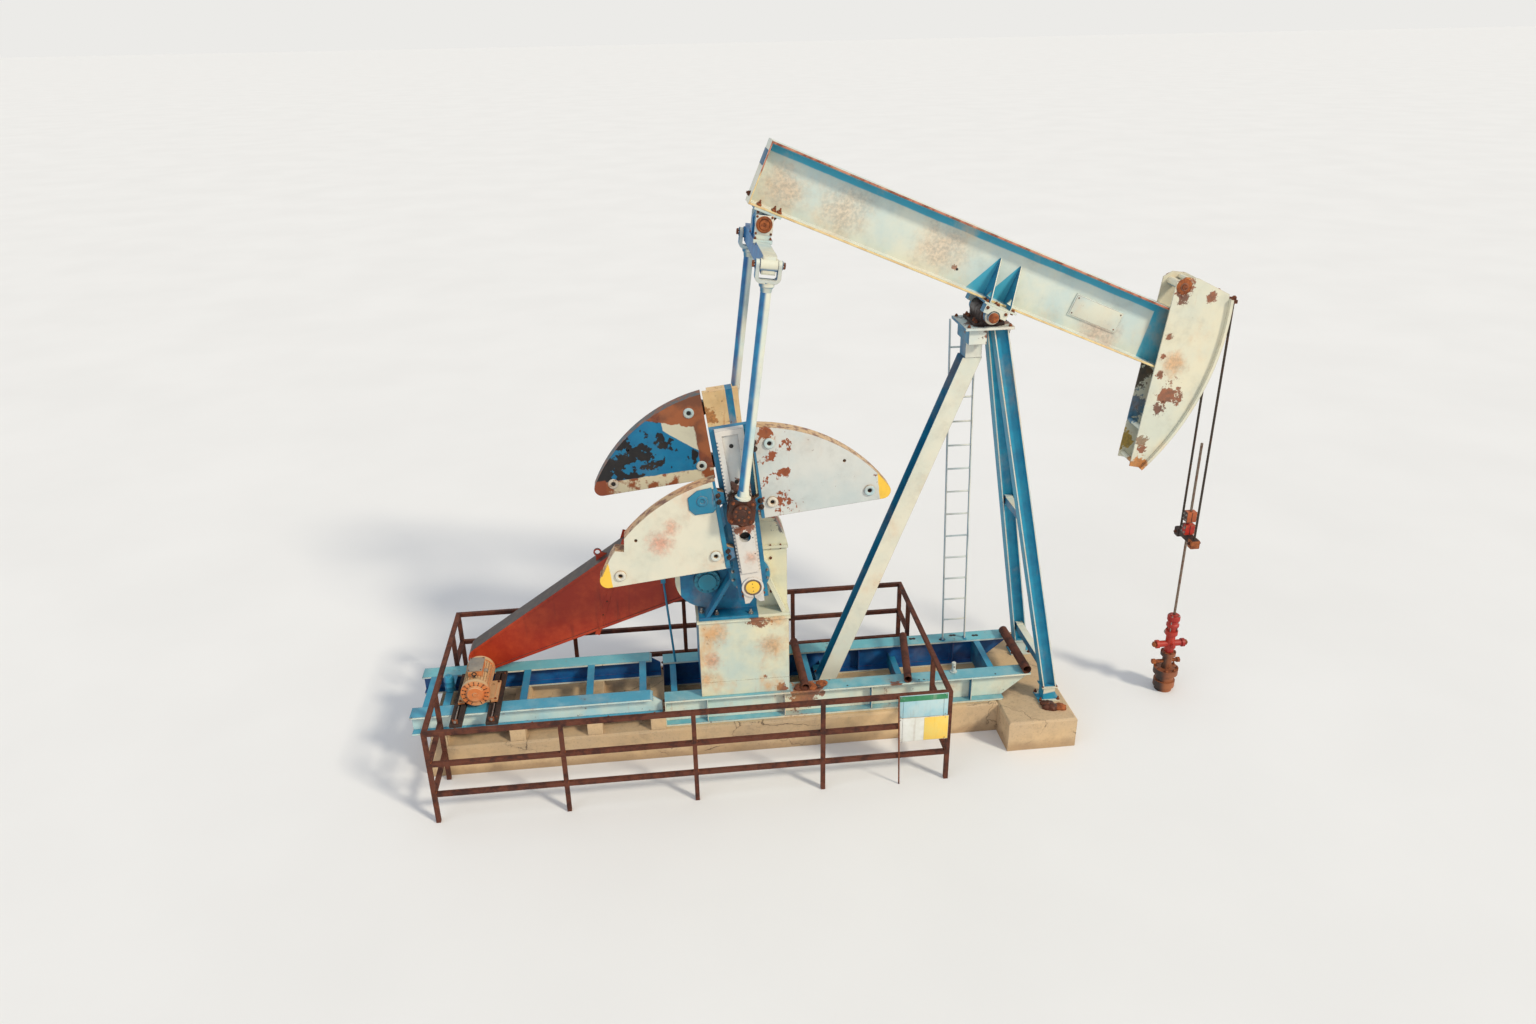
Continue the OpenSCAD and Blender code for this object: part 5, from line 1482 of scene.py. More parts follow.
@dataclass
class Drive(SubAssembly):
    """Motor on its slide rails, and the belt guard."""

    motor_x: float = -5.965
    motor_z: float = 1.033
    guard_near: float = 0.30
    guard_far: float = 0.55

    def motor_cowl(self) -> None:
        """Fan cowl with its louvres as dark slats of painted shadow, the lid of the terminal box and the
        lifting eye.
        """
        s = Shape("motor_cowl")
        x, z = self.motor_x, self.motor_z
        s.turned(
            (x, -0.480, z), NEAR, [(0, -2), (98, -2), (98, 4), (90, 10), (30, 10), (26, 14), (0, 14)],
            MOTOR_PAINT, 40)
        # Painted shadow: dark slats for the louvres' slots.
        for i in range(16):
            a = math.tau * i / 16
            if i == 12:
                continue
            for r in (0.118, 0.146):
                middle = Vector((x + r * math.cos(a), -0.461, z + r * math.sin(a)))
                half = Vector((0.010, 0.003, 0.005))
                s.box(middle - half, middle + half, HOLE_SHADE, 0.002, Matrix.Rotation(-a, 4, "Y"))
        for u, v in ring(4, 0.154):
            s.bolt((x + u, -0.460, z + v), NEAR, 0.009)
        s.box((x - 0.088, -0.318, 1.244), (x + 0.088, -0.022, 1.256), GREY_PLATE, 0.004)
        for dx, y in product((-0.07, 0.07), (-0.30, -0.04)):
            s.bolt((x + dx, y, 1.256), UP, 0.007)
        s.bar((x + 0.078, -0.17, 1.16), (x + 0.125, -0.17, 1.16), 0.022, GREY_PLATE, 20)
        s.bar((x, -0.36, 1.18), (x, -0.36, 1.215), 0.012, DARK_STEEL, 12)
        s.hoop((x, -0.36, 1.235), FAR, 0.024, 0.007, DARK_STEEL, 24)
        self.add(s, Slot.MOTOR)

    def rail_bolts(self) -> None:
        """Bolts in the slide rails' slots, the belt's tension screws and their brackets."""
        s = Shape("slide_rail_bolts")
        for side in SIDES:
            x = self.motor_x + side * 0.205
            for y in (-0.36, 0.0):
                s.bolt((x, y, 0.866), UP, 0.016, 0.012)
            s.box((x - 0.03, -0.785, 0.848), (x + 0.03, -0.765, 0.905), RUSTY_BOLT, 0.003)
            s.bar((x, -0.80, 0.882), (x, -0.47, 0.882), 0.008, BOLT_STEEL, 12)
            s.bolt((x, -0.785, 0.882), NEAR, 0.014, finish=BOLT_STEEL)
            for y in (-0.70, 0.22):
                s.bolt((x + side * 0.045, y, 0.849), UP, 0.011)
        self.add(s, Slot.DARK)

    def guard_seam(self) -> None:
        """Seam strips and bolts of the belt guard, and the shaft's boss."""
        s = Shape("guard_seam")
        start, end = Vector((-4.55, 0, 1.26)), Vector((-4.12, 0, 2.55))
        line = (end - start).normalized()
        cross = Vector((line.z, 0, -line.x))
        for y, out in ((self.guard_near, -1.0), (self.guard_far, 1.0)):
            corners = [start - cross * 0.03, start + cross * 0.03, end + cross * 0.03, end - cross * 0.03]
            s.plate([(c.x, y - out * 0.001, c.z) for c in corners], (0, out * 0.006, 0), GUARD)
            for i in range(7):
                at = start.lerp(end, (i + 0.5) / 7)
                s.bolt((at.x, y + out * 0.004, at.z), (0, out, 0), 0.009)
        s.turned(
            (-3.19, self.guard_near, 2.235), NEAR, [(46, -1), (90, -1), (90, 4), (60, 8), (46, 8), (46, -1)],
            GUARD, 36)
        for i in range(8):
            a = math.radians(20 + i * 34)
            x, z = -3.25 + 0.40 * math.cos(a), 2.2 + 0.40 * math.sin(a)
            if z > 1.86 and x < -3.3:
                s.bolt((x, self.guard_near - 0.011, z), NEAR, 0.008)
        s.bolt((-3.70, 0.296, 1.98), NEAR, 0.010)
        self.add(s, Slot.GUARD)

    def build(self) -> None:
        """Builds the drive."""
        self.dress(MOTOR_PAINT, "motor")
        self.dress(DARK_STEEL, "motor_rails")
        self.dress(GUARD, "belt_guard")
        self.dress(BLUE_PAINT, "guard_stay")
        self.motor_cowl()
        self.rail_bolts()
        self.guard_seam()


@dataclass
class Cranks(SubAssembly):
    """Cranks with their counterweights, in the frame of the slow shaft."""

    half_at_shaft: float = 0.170
    half_at_tip: float = 0.210
    tip: float = 1.895
    throw: float = 1.010
    outer: float = 0.780
    inner: float = 0.580
    weight_face: float = 0.755
    gap: float = 0.022
    high: float = 0.820
    low: float = 0.280

    def half(self, v: float) -> float:
        """Half width of a crank's flange at a place along it."""
        return self.half_at_shaft + (self.half_at_tip - self.half_at_shaft) * v / self.tip

    def shaft_end(self, side: Matrix, name: str) -> None:
        """Painted end of the slow shaft with its key, and the nuts of the wrist pin and clamp.

        Args:
            side: Frame of the crank.
            name: Which crank it is.
        """
        s = Shape(f"crank_{name}_fittings", side)
        s.turned((0, -0.770, 0), NEAR, [(0, -1), (78, -1), (78, 5), (72, 8), (0, 8)], YELLOW, 48)
        for v in (-0.045, 0.0, 0.045):
            s.bar((0.002, -0.776, v), (0.002, -0.7785, v), 0.006, DARK_STEEL, 12, 0.0005)
        # Painted shade: the dark discs in this method stand for the insides of the crank's holes.
        for v in (0.825, 0.640):
            s.bar((0, -self.inner - 0.02, v), (0, -self.outer + 0.09, v), 0.0605, HOLE_SHADE, 32)
        s.bar((0, -self.inner - 0.02, self.throw), (0, -self.outer + 0.03, self.throw), 0.061, DARK_STEEL, 40)
        s.bolt((0, -self.inner + 0.001, self.throw), FAR, 0.052, finish=LUG_BLUE)
        s.bar(
            (0, -self.inner + 0.05, self.throw), (0, -self.inner + 0.075, self.throw), 0.026, RUSTY_BOLT, 24)
        for v in (1.290, 1.705):
            s.bar((0, -self.outer + 0.046, v), (0, -self.outer + 0.0425, v), 0.024, HOLE_SHADE, 24, 0.001)
        for v, u in product((-0.150, -0.095), (0.115, -0.115)):
            s.bolt((u, -0.660, v), NEAR, 0.016, 0.01)
        for v in (0.42, 0.62, 0.84, 1.22, 1.42, 1.62):
            u = 0.082 if v < 1.1 else 0.115
            s.bar((u, -self.outer, v), (u, -self.outer - 0.002, v), 0.007, HOLE_SHADE, 12, 0.0005)
        self.add(s, Slot.CAST, Body.CRANKS)

    def clamps(self, side: Matrix, name: str, along: float, lug: bool) -> None:
        """Clamp bolts, boss rims and studs of one counterweight.

        Args:
            side: Frame of the crank, with the weight on its positive side.
            name: Which weight it is.
            along: Where its flat edge crosses the crank.
            lug: Whether its upper boss is set in a cast lug.
        """
        s = Shape(f"weight_{name}_bolts", side)
        face = -self.weight_face
        for v in (along + 0.120, along + 0.800):
            u = self.half(v) + self.gap + 0.012
            for dv in (0.03, 0.105):
                s.bolt((u, face, v + dv - 0.01), NEAR, 0.026, 0.03, DARK_STEEL)
        for u, dv in ((1.420, 0.130), (0.350, 0.180), (0.400, 0.860)):
            s.turned(
                (u, face - 0.015, along + dv), NEAR,
                [(25, -1), (61, -1), (61, 3), (54, 10), (36, 12), (25, 4), (25, -1)],
                LUG_BLUE if lug and dv > 0.8 else BOSS_PAINT, 40)
            # Painted shade: dark discs in the bosses' holes, on both faces.
            s.bar((u, face + 0.012, along + dv), (u, face + 0.006, along + dv), 0.0235, HOLE_SHADE, 20)
            s.turned(
                (u, -self.inner + 0.005, along + dv), FAR,
                [(0, -1), (64, -1), (64, 3), (56, 13), (34, 15), (28, 4), (0, 4)], BOSS_PAINT, 36)
            s.bar(
                (u, -self.inner + 0.006, along + dv), (u, -self.inner + 0.0105, along + dv), 0.026, HOLE_SHADE, 20)
        if lug:
            at = Vector((0.400, face - 0.001, along + 0.860))
            outline = [
                (-0.150, -0.10), (-0.10, -0.155), (0.10, -0.150), (0.155, -0.08), (0.150, 0.06), (0.04, 0.13),
                (-0.12, 0.14)]
            s.plate([at + Vector((a, 0, b)) for a, b in outline], (0, -0.012, 0), LUG_BLUE, 0.005)
            strip = self.half(along + 0.45) + self.gap
            corners = ((0.004, 0.02), (0.055, 0.02), (0.065, 0.98), (0.012, 0.99))
            s.plate(
                [(strip + a, face + 0.001, along + b) for a, b in corners], (0, -0.009, 0), LUG_BLUE, 0.004)
        self.add(s, Slot.CAST, Body.CRANKS)

    def build(self) -> None:
        """Builds the cranks."""
        mirrored = Matrix.Diagonal((-1.0, 1.0, 1.0, 1.0))
        far = FAR_SIDE @ CRANK
        self.dress(ROD_STEEL, "slow_shaft")
        self.dress(CRANK_PAINT, "crank_near")
        self.dress(FAR_CRANK_PAINT, "crank_far")
        self.dress(WEIGHT_FRONT, "weight_near_front")
        self.dress(WEIGHT_REAR, "weight_near_rear")
        self.dress(WEIGHT_FAR_FRONT, "weight_far_front")
        self.dress(WEIGHT_FAR_REAR, "weight_far_rear")
        self.shaft_end(CRANK, "near")
        self.shaft_end(far, "far")
        self.clamps(CRANK, "near_front", self.high, False)
        self.clamps(CRANK @ mirrored, "near_rear", self.low, True)
        self.clamps(far, "far_front", self.low, False)
        self.clamps(far @ mirrored, "far_rear", self.high, False)


@dataclass
class Pitmans(SubAssembly):
    """Equalizer, pitman tubes and wrist bearings, with the equalizer's tail bearing."""

    pitman_y: float = 0.880
    yoke_z: float = -0.270
    length: float = 2.9035
    outer: float = 0.970
    housing: float = 0.945

    def wrist_caps(self) -> None:
        """Bolted caps and grease of the wrist bearings, and a painted collar above each bearing."""
        s = Shape("wrist_caps", PITMAN)
        for side in SIDES:
            y = side * self.outer
            z = -self.length
            s.turned(
                (0, y, z), (0, side, 0),
                [(0, -1), (100, -1), (100, 8), (90, 14), (50, 14), (44, 20), (0, 20)], CASTING_RUST, 48)
            for u, v in ring(8, 0.076):
                s.bolt((u, y + side * 0.013, z + v), (0, side, 0), 0.011)
            for dx, dz in product((-0.105, 0.105), repeat=2):
                s.bolt((dx, side * self.housing, z + dz), (0, side, 0), 0.017, 0.008)
            s.turned(
                (0, side * self.pitman_y, z + 0.140), UP,
                [(54, 0), (88, 0), (88, 22), (66, 34), (60, 90), (56, 98), (54, 98)], PAINT, 40)
            chance = random.Random(5 + int(side))
            for i in range(6):
                size = chance.uniform(0.010, 0.026)
                at = (
                    chance.uniform(-0.10, 0.10), side * (self.housing + size * 0.1),
                    z - 0.03 + chance.uniform(-0.09, 0.09))
                s.blot(at, (size, size * 0.5, size * 1.3), 50 + i, CASTING_RUST)
        self.add(s, Slot.CASTING, Body.PITMANS)

    def yoke_nuts(self) -> None:
        """Nuts and collars at the yokes' cross pins, and the collar where each tube is welded in."""
        s = Shape("yoke_nuts", PITMAN)
        for side in SIDES:
            y = side * self.pitman_y
            for out in SIDES:
                s.turned(
                    (out * 0.130, y, self.yoke_z), (out, 0, 0),
                    [(31, -1), (50, -1), (50, 4), (44, 8), (31, 8)], LUG_BLUE, 32)
                s.bolt((out * 0.1365, y, self.yoke_z), (out, 0, 0), 0.034, washer=False)
            s.turned(
                (0, y, self.yoke_z - 0.178), DOWN, [(54, 0), (78, 0), (78, 30), (62, 50), (58, 85), (54, 90)],
                PAINT, 36)
        self.add(s, Slot.PALE, Body.PITMANS)

    def tail_caps(self) -> None:
        """Ribbed round caps and bolts of the tail bearing's housings, and bolts along the equalizer."""
        s = Shape("tail_bearing_caps", PITMAN)
        for side in SIDES:
            outline = [
                (0, 16), (20, 16), (20, 24), (50, 24), (52, 16), (60, 16), (62, 26), (70, 26), (72, 18),
                (80, 18), (85, 10), (85, -1)]
            s.turned((0, side * 0.204, 0), (0, side, 0), outline, SCALE_RUST, 48)
            s.box(
                (-0.094, side * 0.1975 - 0.0065, -0.108), (0.094, side * 0.1975 + 0.0065, 0.092), BOSS_PAINT,
                0.005)
            for dx, z in product((-0.078, 0.078), (-0.092, 0.076)):
                s.bolt((dx, side * 0.204, z), (0, side, 0), 0.010)
            for dx in (-0.08, 0.08):
                s.bolt((dx, side * 0.205, -0.150), UP, 0.014, 0.01)
            for y in (0.34, 0.58):
                s.bolt((0.070, side * y, self.yoke_z), AHEAD, 0.012)
            low = (-0.062, side * 0.910 - 0.004, self.yoke_z - 0.085)
            s.box(low, (0.062, side * 0.910 + 0.004, self.yoke_z + 0.085), PAINT, 0.003)
        self.add(s, Slot.PALE, Body.PITMANS)

    def build(self) -> None:
        """Builds the pitman assembly."""
        self.dress(EQUALIZER_PAINT, "equalizer")
        self.dress(PITMAN_PAINT, "pitman_rods")
        self.dress(CASTING_RUST, "wrist_bearings")
        self.wrist_caps()
        self.yoke_nuts()
        self.tail_caps()


@dataclass
class WalkingBeam(SubAssembly):
    """Beam, horse head, saddle bracket and tail bracket, in the beam's frame."""

    rise: float = 0.125
    depth: float = 0.660
    flange_t: float = 0.025
    flange_half: float = 0.150
    tail: float = -2.860
    head: float = 2.200
    web_face: float = 0.008
    head_pin: tuple[float, float] = (0.702 * 2.75, 0.382 * 2.75)

    def bare_plate(self) -> None:
        """Raised bare plate on the near side of the web."""
        s = Shape("beam_side_plate", BEAM)
        low, high = (0.90, -0.021, 0.29), (1.53, -0.0075, 0.545)
        s.box(low, high, BEAM_PAINT, 0.005)
        s.box((0.915, -0.0245, 0.305), (1.515, -0.0195, 0.530), SIDE_PLATE_PAINT, 0.004)
        for x, z in product((0.94, 1.49), (0.33, 0.505)):
            s.bar((x, -0.024, z), (x, -0.028, z), 0.008, RUSTY_BOLT, 12, 0.001)
        self.add(s, Slot.PALE, Body.BEAM)

    def rolled_beam(self) -> None:
        """Rolled beam with its root fillets, the plate over its tail end and a small drilled hole as a dark
        disc of painted shade.
        """
        s = Shape("rolled_beam", BEAM)
        low, high, half, web = self.rise, self.rise + self.depth, self.flange_half, self.web_face
        s.box((self.tail, -web, low + 0.010), (self.head, web, high - 0.010), BEAM_PAINT, 0.001)
        s.box((self.tail - 0.016, -half, low), (self.tail, half, high), BEAM_PAINT, 0.003)
        for z, up in ((low, 1.0), (high, -1.0)):
            inner = z + up * self.flange_t
            s.box((self.tail, -half, min(z, inner)), (self.head, half, max(z, inner)), BEAM_PAINT, 0.004)
            for side in (-web, web):
                root = ((1.0, 0.0), (3.2, 0.0), (1.6, 0.005), (1.0, 0.018))
                s.plate(
                    [(self.tail, side * a, inner + up * b) for a, b in root], (self.head - self.tail, 0, 0),
                    BEAM_PAINT, 0.0)
        s.turned((-0.49, -web, low + 0.17), NEAR, [(0, 0), (14, 0), (14, 1.5), (0, 1.5)], HOLE_SHADE, 20)
        self.add(s, Slot.PALE, Body.BEAM, ["walking_beam"])

    def saddle_bolts(self) -> None:
        """Bolts of the beam's saddle plate and bracket, and the trunnion's end caps."""
        s = Shape("beam_saddle_bolts", BEAM)
        for side in SIDES:
            for x in (-0.115, 0.02, 0.205):
                for y in (0.262, 0.185):
                    s.bolt((x, side * y, self.rise), UP, 0.017, 0.012)
                s.bolt((x, side * 0.255, self.rise - 0.020), DOWN, 0.016)
            for x in (-0.11, 0.11):
                s.bolt((x, side * 0.345, 0.080), (0, side, 0), 0.015)
            s.turned(
                (0, side * 0.355, 0), (0, side, 0), [(0, -1), (57, -1), (57, 6), (50, 10), (0, 10)],
                SCALE_RUST, 40)
        self.add(s, Slot.PALE, Body.BEAM)

    def tail_fastenings(self) -> None:
        """Clamps over the lower flange at the tail, the tail bracket's bolts and the end plate's fittings."""
        s = Shape("beam_tail_clamps", BEAM)
        flange = self.rise + self.flange_t
        for side in SIDES:
            for x in (-2.765, -2.60, -2.54):
                s.box(
                    (x - 0.024, side * 0.118 - 0.036, flange - 0.001),
                    (x + 0.024, side * 0.118 + 0.036, flange + 0.020), SCALE_RUST, 0.004)
                s.bolt((x, side * 0.125, flange + 0.018), UP, 0.018, 0.02)
            for x in (-2.745, -2.56):
                s.bolt((x, side * 0.125, self.rise - 0.025), DOWN, 0.016, 0.012)
        s.bar(
            (self.tail - 0.015, 0, self.rise + 0.09), (self.tail - 0.055, 0, self.rise + 0.09), 0.014,
            RUSTY_BOLT, 16)
        s.bolt((self.tail - 0.016, 0, self.rise + 0.09), BACK, 0.024)
        s.box(
            (self.tail - 0.021, -0.13, self.rise + 0.40), (self.tail - 0.015, 0.13, self.rise + 0.56),
            LUG_BLUE, 0.003)
        self.add(s, Slot.PALE, Body.BEAM)

    def head_fittings(self) -> None:
        """Rims and ends of the horse head's pin, and the rope sockets on the hanger."""
        s = Shape("head_fittings", BEAM)
        x, z = self.head_pin
        for side in SIDES:
            s.turned(
                (x, side * 0.184, z), (0, side, 0), [(0, -1), (30, -1), (30, 14), (0, 14)], RUSTY_BOLT, 28)
            s.turned(
                (x, side * 0.172, z), (0, side, 0), [(44, -1), (88, -1), (88, 4), (60, 9), (44, 9)],
                SCALE_RUST, 40)
        self.add(s, Slot.PALE, Body.BEAM)
        t = Shape("hanger_sockets", WELL)
        for y in (-0.18, 0.18):
            t.turned((0, y, 5.237), UP, [(0, 0), (26, 0), (26, 30), (16, 44), (0, 44)], RUSTY_BOLT, 28)
        for y in (-0.10, 0.0, 0.10):
            t.bolt((0.0067, y, 5.238), UP, 0.013)
        self.add(t, Slot.STEEL, Body.BEAM)

    def build(self) -> None:
        """Builds the beam."""
        self.dress(BEAM_PAINT, "walking_beam")
        self.dress(HEAD_PAINT, "horse_head")
        self.dress(PAINT, "tail_bracket", "saddle_trunnion")
        self.dress(RUSTY_BOLT, "rope_hanger")
        self.bare_plate()
        self.rolled_beam()
        self.saddle_bolts()
        self.tail_fastenings()
        self.head_fittings()


@dataclass
class SamsonPost(SubAssembly):
    """Post of three legs with its cap, saddle bearing and ladder."""

    cap_top: float = 5.080
    bearing_top: float = 5.116
    footing: float = 0.425
    rear_foot: Place = (-1.75, 0.135, 0.58)

    def bearing_bolts(self) -> None:
        """Corner bolts and nuts of the saddle bearing, and its grease."""
        s = Shape("saddle_bearing_bolts")
        for side in SIDES:
            for x, y in product((-0.140, 0.140), (0.105, 0.180)):
                s.bolt((x, side * y, self.bearing_top), UP, 0.019, 0.014)
            for x in (-0.235, 0.225):
                s.bolt((x, side * 0.255, self.cap_top), UP, 0.018, 0.010)
            s.turned(
                (0, side * 0.220, SADDLE.z), (0, side, 0), [(62, -1), (92, -1), (90, 6), (62, 6), (62, -1)],
                CASTING_RUST, 40)
        chance = random.Random(9)
        for i in range(10):
            size = chance.uniform(0.010, 0.024)
            at = (
                chance.uniform(-0.15, 0.15), chance.choice((-1, 1)) * chance.uniform(0.20, 0.25),
                self.cap_top + size * 0.2)
            s.blot(at, (size * 1.4, size, size * 0.5), 70 + i, BLACK_GREASE)
        self.add(s, Slot.CASTING)

    def leg_bolts(self) -> None:
        """Bolts of the leg feet, of the ties between the legs and of the rear foot."""
        s = Shape("post_leg_bolts")
        x, y, foot = LEG_FOOT
        rear_x, rear_y, rear_z = self.rear_foot
        for side in SIDES:
            for dx, dy in product((-0.112, 0.112), (-0.095, 0.095)):
                s.bolt((x + dx, side * y + dy, self.footing), UP, 0.018, 0.022)
            for dx in (-0.088, 0.086):
                s.bolt((x + dx, side * (y + 0.078), foot), UP, 0.010)
            for dx in (-0.095, 0.095):
                s.bolt((rear_x + dx, side * rear_y, rear_z), UP, 0.016, 0.012)
        for z in (0.82, 2.75):
            climb = (z - foot) / LEG_RISE
            at_x = x + (LEG_HEAD[0] - x) * climb
            at_y = y + (LEG_HEAD[1] - y) * climb - 0.052
            for side, dz, out in product(SIDES, (-0.028, 0.028), (1, -1)):
                s.bolt((at_x + out * 0.045, side * at_y, z + dz), (out, 0, 0), 0.009)
        self.add(s, Slot.DARK)

    def ladder_brackets(self) -> None:
        """Brackets and bolts at the ladder's foot."""
        s = Shape("ladder_brackets")
        for x in (-0.135, 0.155):
            s.box((x - 0.02, 0.345, SKID_TOP), (x + 0.02, 0.425, SKID_TOP + 0.012), BLUE_PAINT, 0.003)
            s.bolt((x, 0.405, SKID_TOP + 0.011), UP, 0.009)
        self.add(s, Slot.PALE)

    def build(self) -> None:
        """Builds the post."""
        self.dress(PAINT, "leg_braces")
        self.dress(CAP_PAINT, "post_cap")
        self.dress(REAR_LEG_PAINT, "rear_leg")
        self.dress(NEAR_LEG_PAINT, "front_leg_near")
        self.dress(FAR_LEG_PAINT, "front_leg_far")
        self.dress(LADDER_PAINT, "ladder")
        self.dress(BLACK_GREASE, "saddle_bearing")
        self.bearing_bolts()
        self.leg_bolts()
        self.ladder_brackets()


@dataclass
class WellEnd(SubAssembly):
    """Wellhead, polished rod, carrier bar and the wire ropes of the bridle."""

    rope_y: float = 0.180
    rope_r: float = 0.015
    lay: float = 0.07
    strands: int = 6
    carrier_top: float = 2.275
    saddle_z: float = 5.200
    wrap: float = 0.010
    stroke: float = 2.1585
    rod_r: float = 0.016
    rod_length: float = 3.41

    def twisted(self, shape: Shape, low: float, high: float, turns: float, rings: int) -> None:
        """Adds both falls of a laid rope between two heights.

        Args:
            shape: The piece that gets them.
            low: Height of the lower end.
            high: Height of the upper end.
            turns: How often the strands go round.
            rings: Rings along each rope.
        """
        for y in (-self.rope_y, self.rope_y):
            form = bmesh.new()
            bmesh.ops.create_cone(
                form, cap_ends=False, segments=24, radius1=self.rope_r, radius2=self.rope_r, depth=high - low)
            for vert in form.verts:
                angle = math.atan2(vert.co.y, vert.co.x)
                vert.co.xy *= 1.0 - self.lay + self.lay * math.cos(angle * self.strands)
            bmesh.ops.subdivide_edges(form, edges=sloping(form), cuts=rings, use_grid_fill=True)
            for vert in form.verts:
                share = vert.co.z / (high - low)
                vert.co = Matrix.Rotation(share * turns * math.tau, 4, "Z") @ vert.co
            bmesh.ops.holes_fill(form, edges=[e for e in form.edges if e.is_boundary], sides=0)
            bmesh.ops.translate(form, vec=(WELL_X, y, (low + high) / 2), verts=form.verts)
            shape.take(form, ROPE)

    def ropes(self) -> None:
        """Falls of the bridle, and a short length of rope where they meet the horse head."""
        falls = Shape("bridle_falls")
        self.twisted(falls, self.carrier_top + 0.0003, self.saddle_z, 14.0, 150)
        piece = self.add(falls, Slot.ROPE, replaced=["bridle_ropes"])
        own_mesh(piece)
        wrap = Shape("bridle_wrap")
        self.twisted(wrap, self.saddle_z, self.saddle_z + self.wrap, 1.0, 42)
        self.add_blended(
            wrap, Body.BEAM, Slot.ROPE, "bridle_ropes", (WELL_X, 0, self.saddle_z),
            (WELL_X, 0, self.saddle_z + self.wrap))

    def rod(self) -> None:
        """Polished rod, which runs through the stuffing box."""
        s = Shape("polished_rod_bar")
        form = bmesh.new()
        bmesh.ops.create_cone(
            form, cap_ends=True, segments=28, radius1=self.rod_r, radius2=self.rod_r, depth=self.rod_length)
        bmesh.ops.subdivide_edges(form, edges=sloping(form), cuts=40, use_grid_fill=True)
        rims = [e for e in form.edges if e.verts[0].co.z > 1.7 and e.verts[1].co.z > 1.7]
        soften(form, rims, 0.004)
        bmesh.ops.translate(form, vec=(WELL_X, 0, 1.765), verts=form.verts)
        s.take(form, ROD_STEEL)
        self.add_blended(s, Body.RODS, Slot.STEEL, "polished_rod", (WELL_X, 0, 0.60), (WELL_X, 0, 2.0))

    def clamp_bolts(self) -> None:
        """Bolts of the rod clamps and rope sockets under the carrier bar."""
        s = Shape("carrier_fittings", WELL)
        for z in (self.carrier_top, 2.445):
            for dz, y, out in product((0.035, 0.095), (-0.030, 0.030), SIDES):
                s.bolt((out * 0.060, y, z + dz), (out, 0, 0), 0.011, 0.006, BOLT_STEEL)
            s.box((-0.004, -0.047, z + 0.004), (0.004, 0.047, z + 0.126), HOLE_SHADE, 0.001)
        for y in (-self.rope_y, self.rope_y):
            s.turned((0, y, 2.205), DOWN, [(0, -1), (24, -1), (28, 30), (22, 46), (0, 48)], RUSTY_BOLT, 28)
            s.box((-0.058, y - 0.050, 2.165), (0.058, y + 0.050, 2.274),
                  BLACK_GREASE if y > 0 else SCALE_RUST, 0.012)
            for out in SIDES:
                s.bolt((out * 0.056, y, 2.225), (out, 0, 0), 0.018, 0.012)
        self.add(s, Slot.WELL, Body.RODS)

    def flange_studs(self) -> None:
        """Studs of the wellhead flanges, the gland and its bolts, side plugs and outlets, and the gauge."""
        s = Shape("wellhead_fittings", WELL)
        for radius, z, count, size in ((0.135, 0.330, 8, 0.018), (0.082, 0.570, 6, 0.012)):
            for u, v in ring(count, radius):
                s.bolt((u, v, z), UP, size, 0.014)
        for u, v in ring(4, 0.063):
            s.bar((u, v, 0.885), (u, v, 1.118), 0.007, BOLT_STEEL, 12)
            s.bolt((u, v, 1.105), UP, 0.012, finish=BOLT_STEEL, washer=False)
        for out in SIDES:
            s.bolt((out * 0.188, 0, 0.69), (out, 0, 0), 0.040, 0.012, SCALE_RUST, washer=False)
        s.bar((0, -0.05, 0.69), (0, -0.115, 0.69), 0.020, WELL_RED, 24)
        s.bar((0, -0.075, 0.69), (0, -0.105, 0.69), 0.034, WELL_RED, 6)
        outline = [
            (30, 0), (72, 0), (80, 12), (80, 40), (66, 56), (66, 85), (80, 100), (80, 150), (70, 166),
            (30, 166), (30, 0)]
        s.turned((0, 0, 0.945), UP, outline, WELL_RED, 40)
        s.bar((0, 0.045, 0.76), (0, 0.105, 0.76), 0.014, RUSTY_BOLT, 20)
        s.turned(
            (0, 0.100, 0.80), FAR, [(0, 0), (36, 0), (38, 4), (38, 26), (34, 30), (0, 26)], BOLT_STEEL, 36)
        s.bar((0, 0.112, 0.755), (0, 0.112, 0.77), 0.009, BOLT_STEEL, 16)
        outlets = (
            (-0.20, -0.05, 0.024, 24), (-0.205, -0.165, 0.038, 6), (0.05, 0.16, 0.024, 24),
            (0.125, 0.165, 0.038, 6))
        for start, end, radius, sides in outlets:
            s.bar((start, 0, 0.43), (end, 0, 0.43), radius, SCALE_RUST, sides)
        self.add(s, Slot.WELL)

    def build(self) -> None:
        """Builds the well end."""
        self.dress(CASING_RUST, "casing_head")
        self.dress(WELL_RED, "stuffing_box")
        self.dress(CLAMP_RUST, "rod_clamps")
        self.dress(BLACK_GREASE, "carrier_bar")
        self.dress(ROPE, "bridle_ropes")
        self.dress(ROD_STEEL, "polished_rod")
        self.ropes()
        self.rod()
        self.clamp_bolts()
        self.flange_studs()


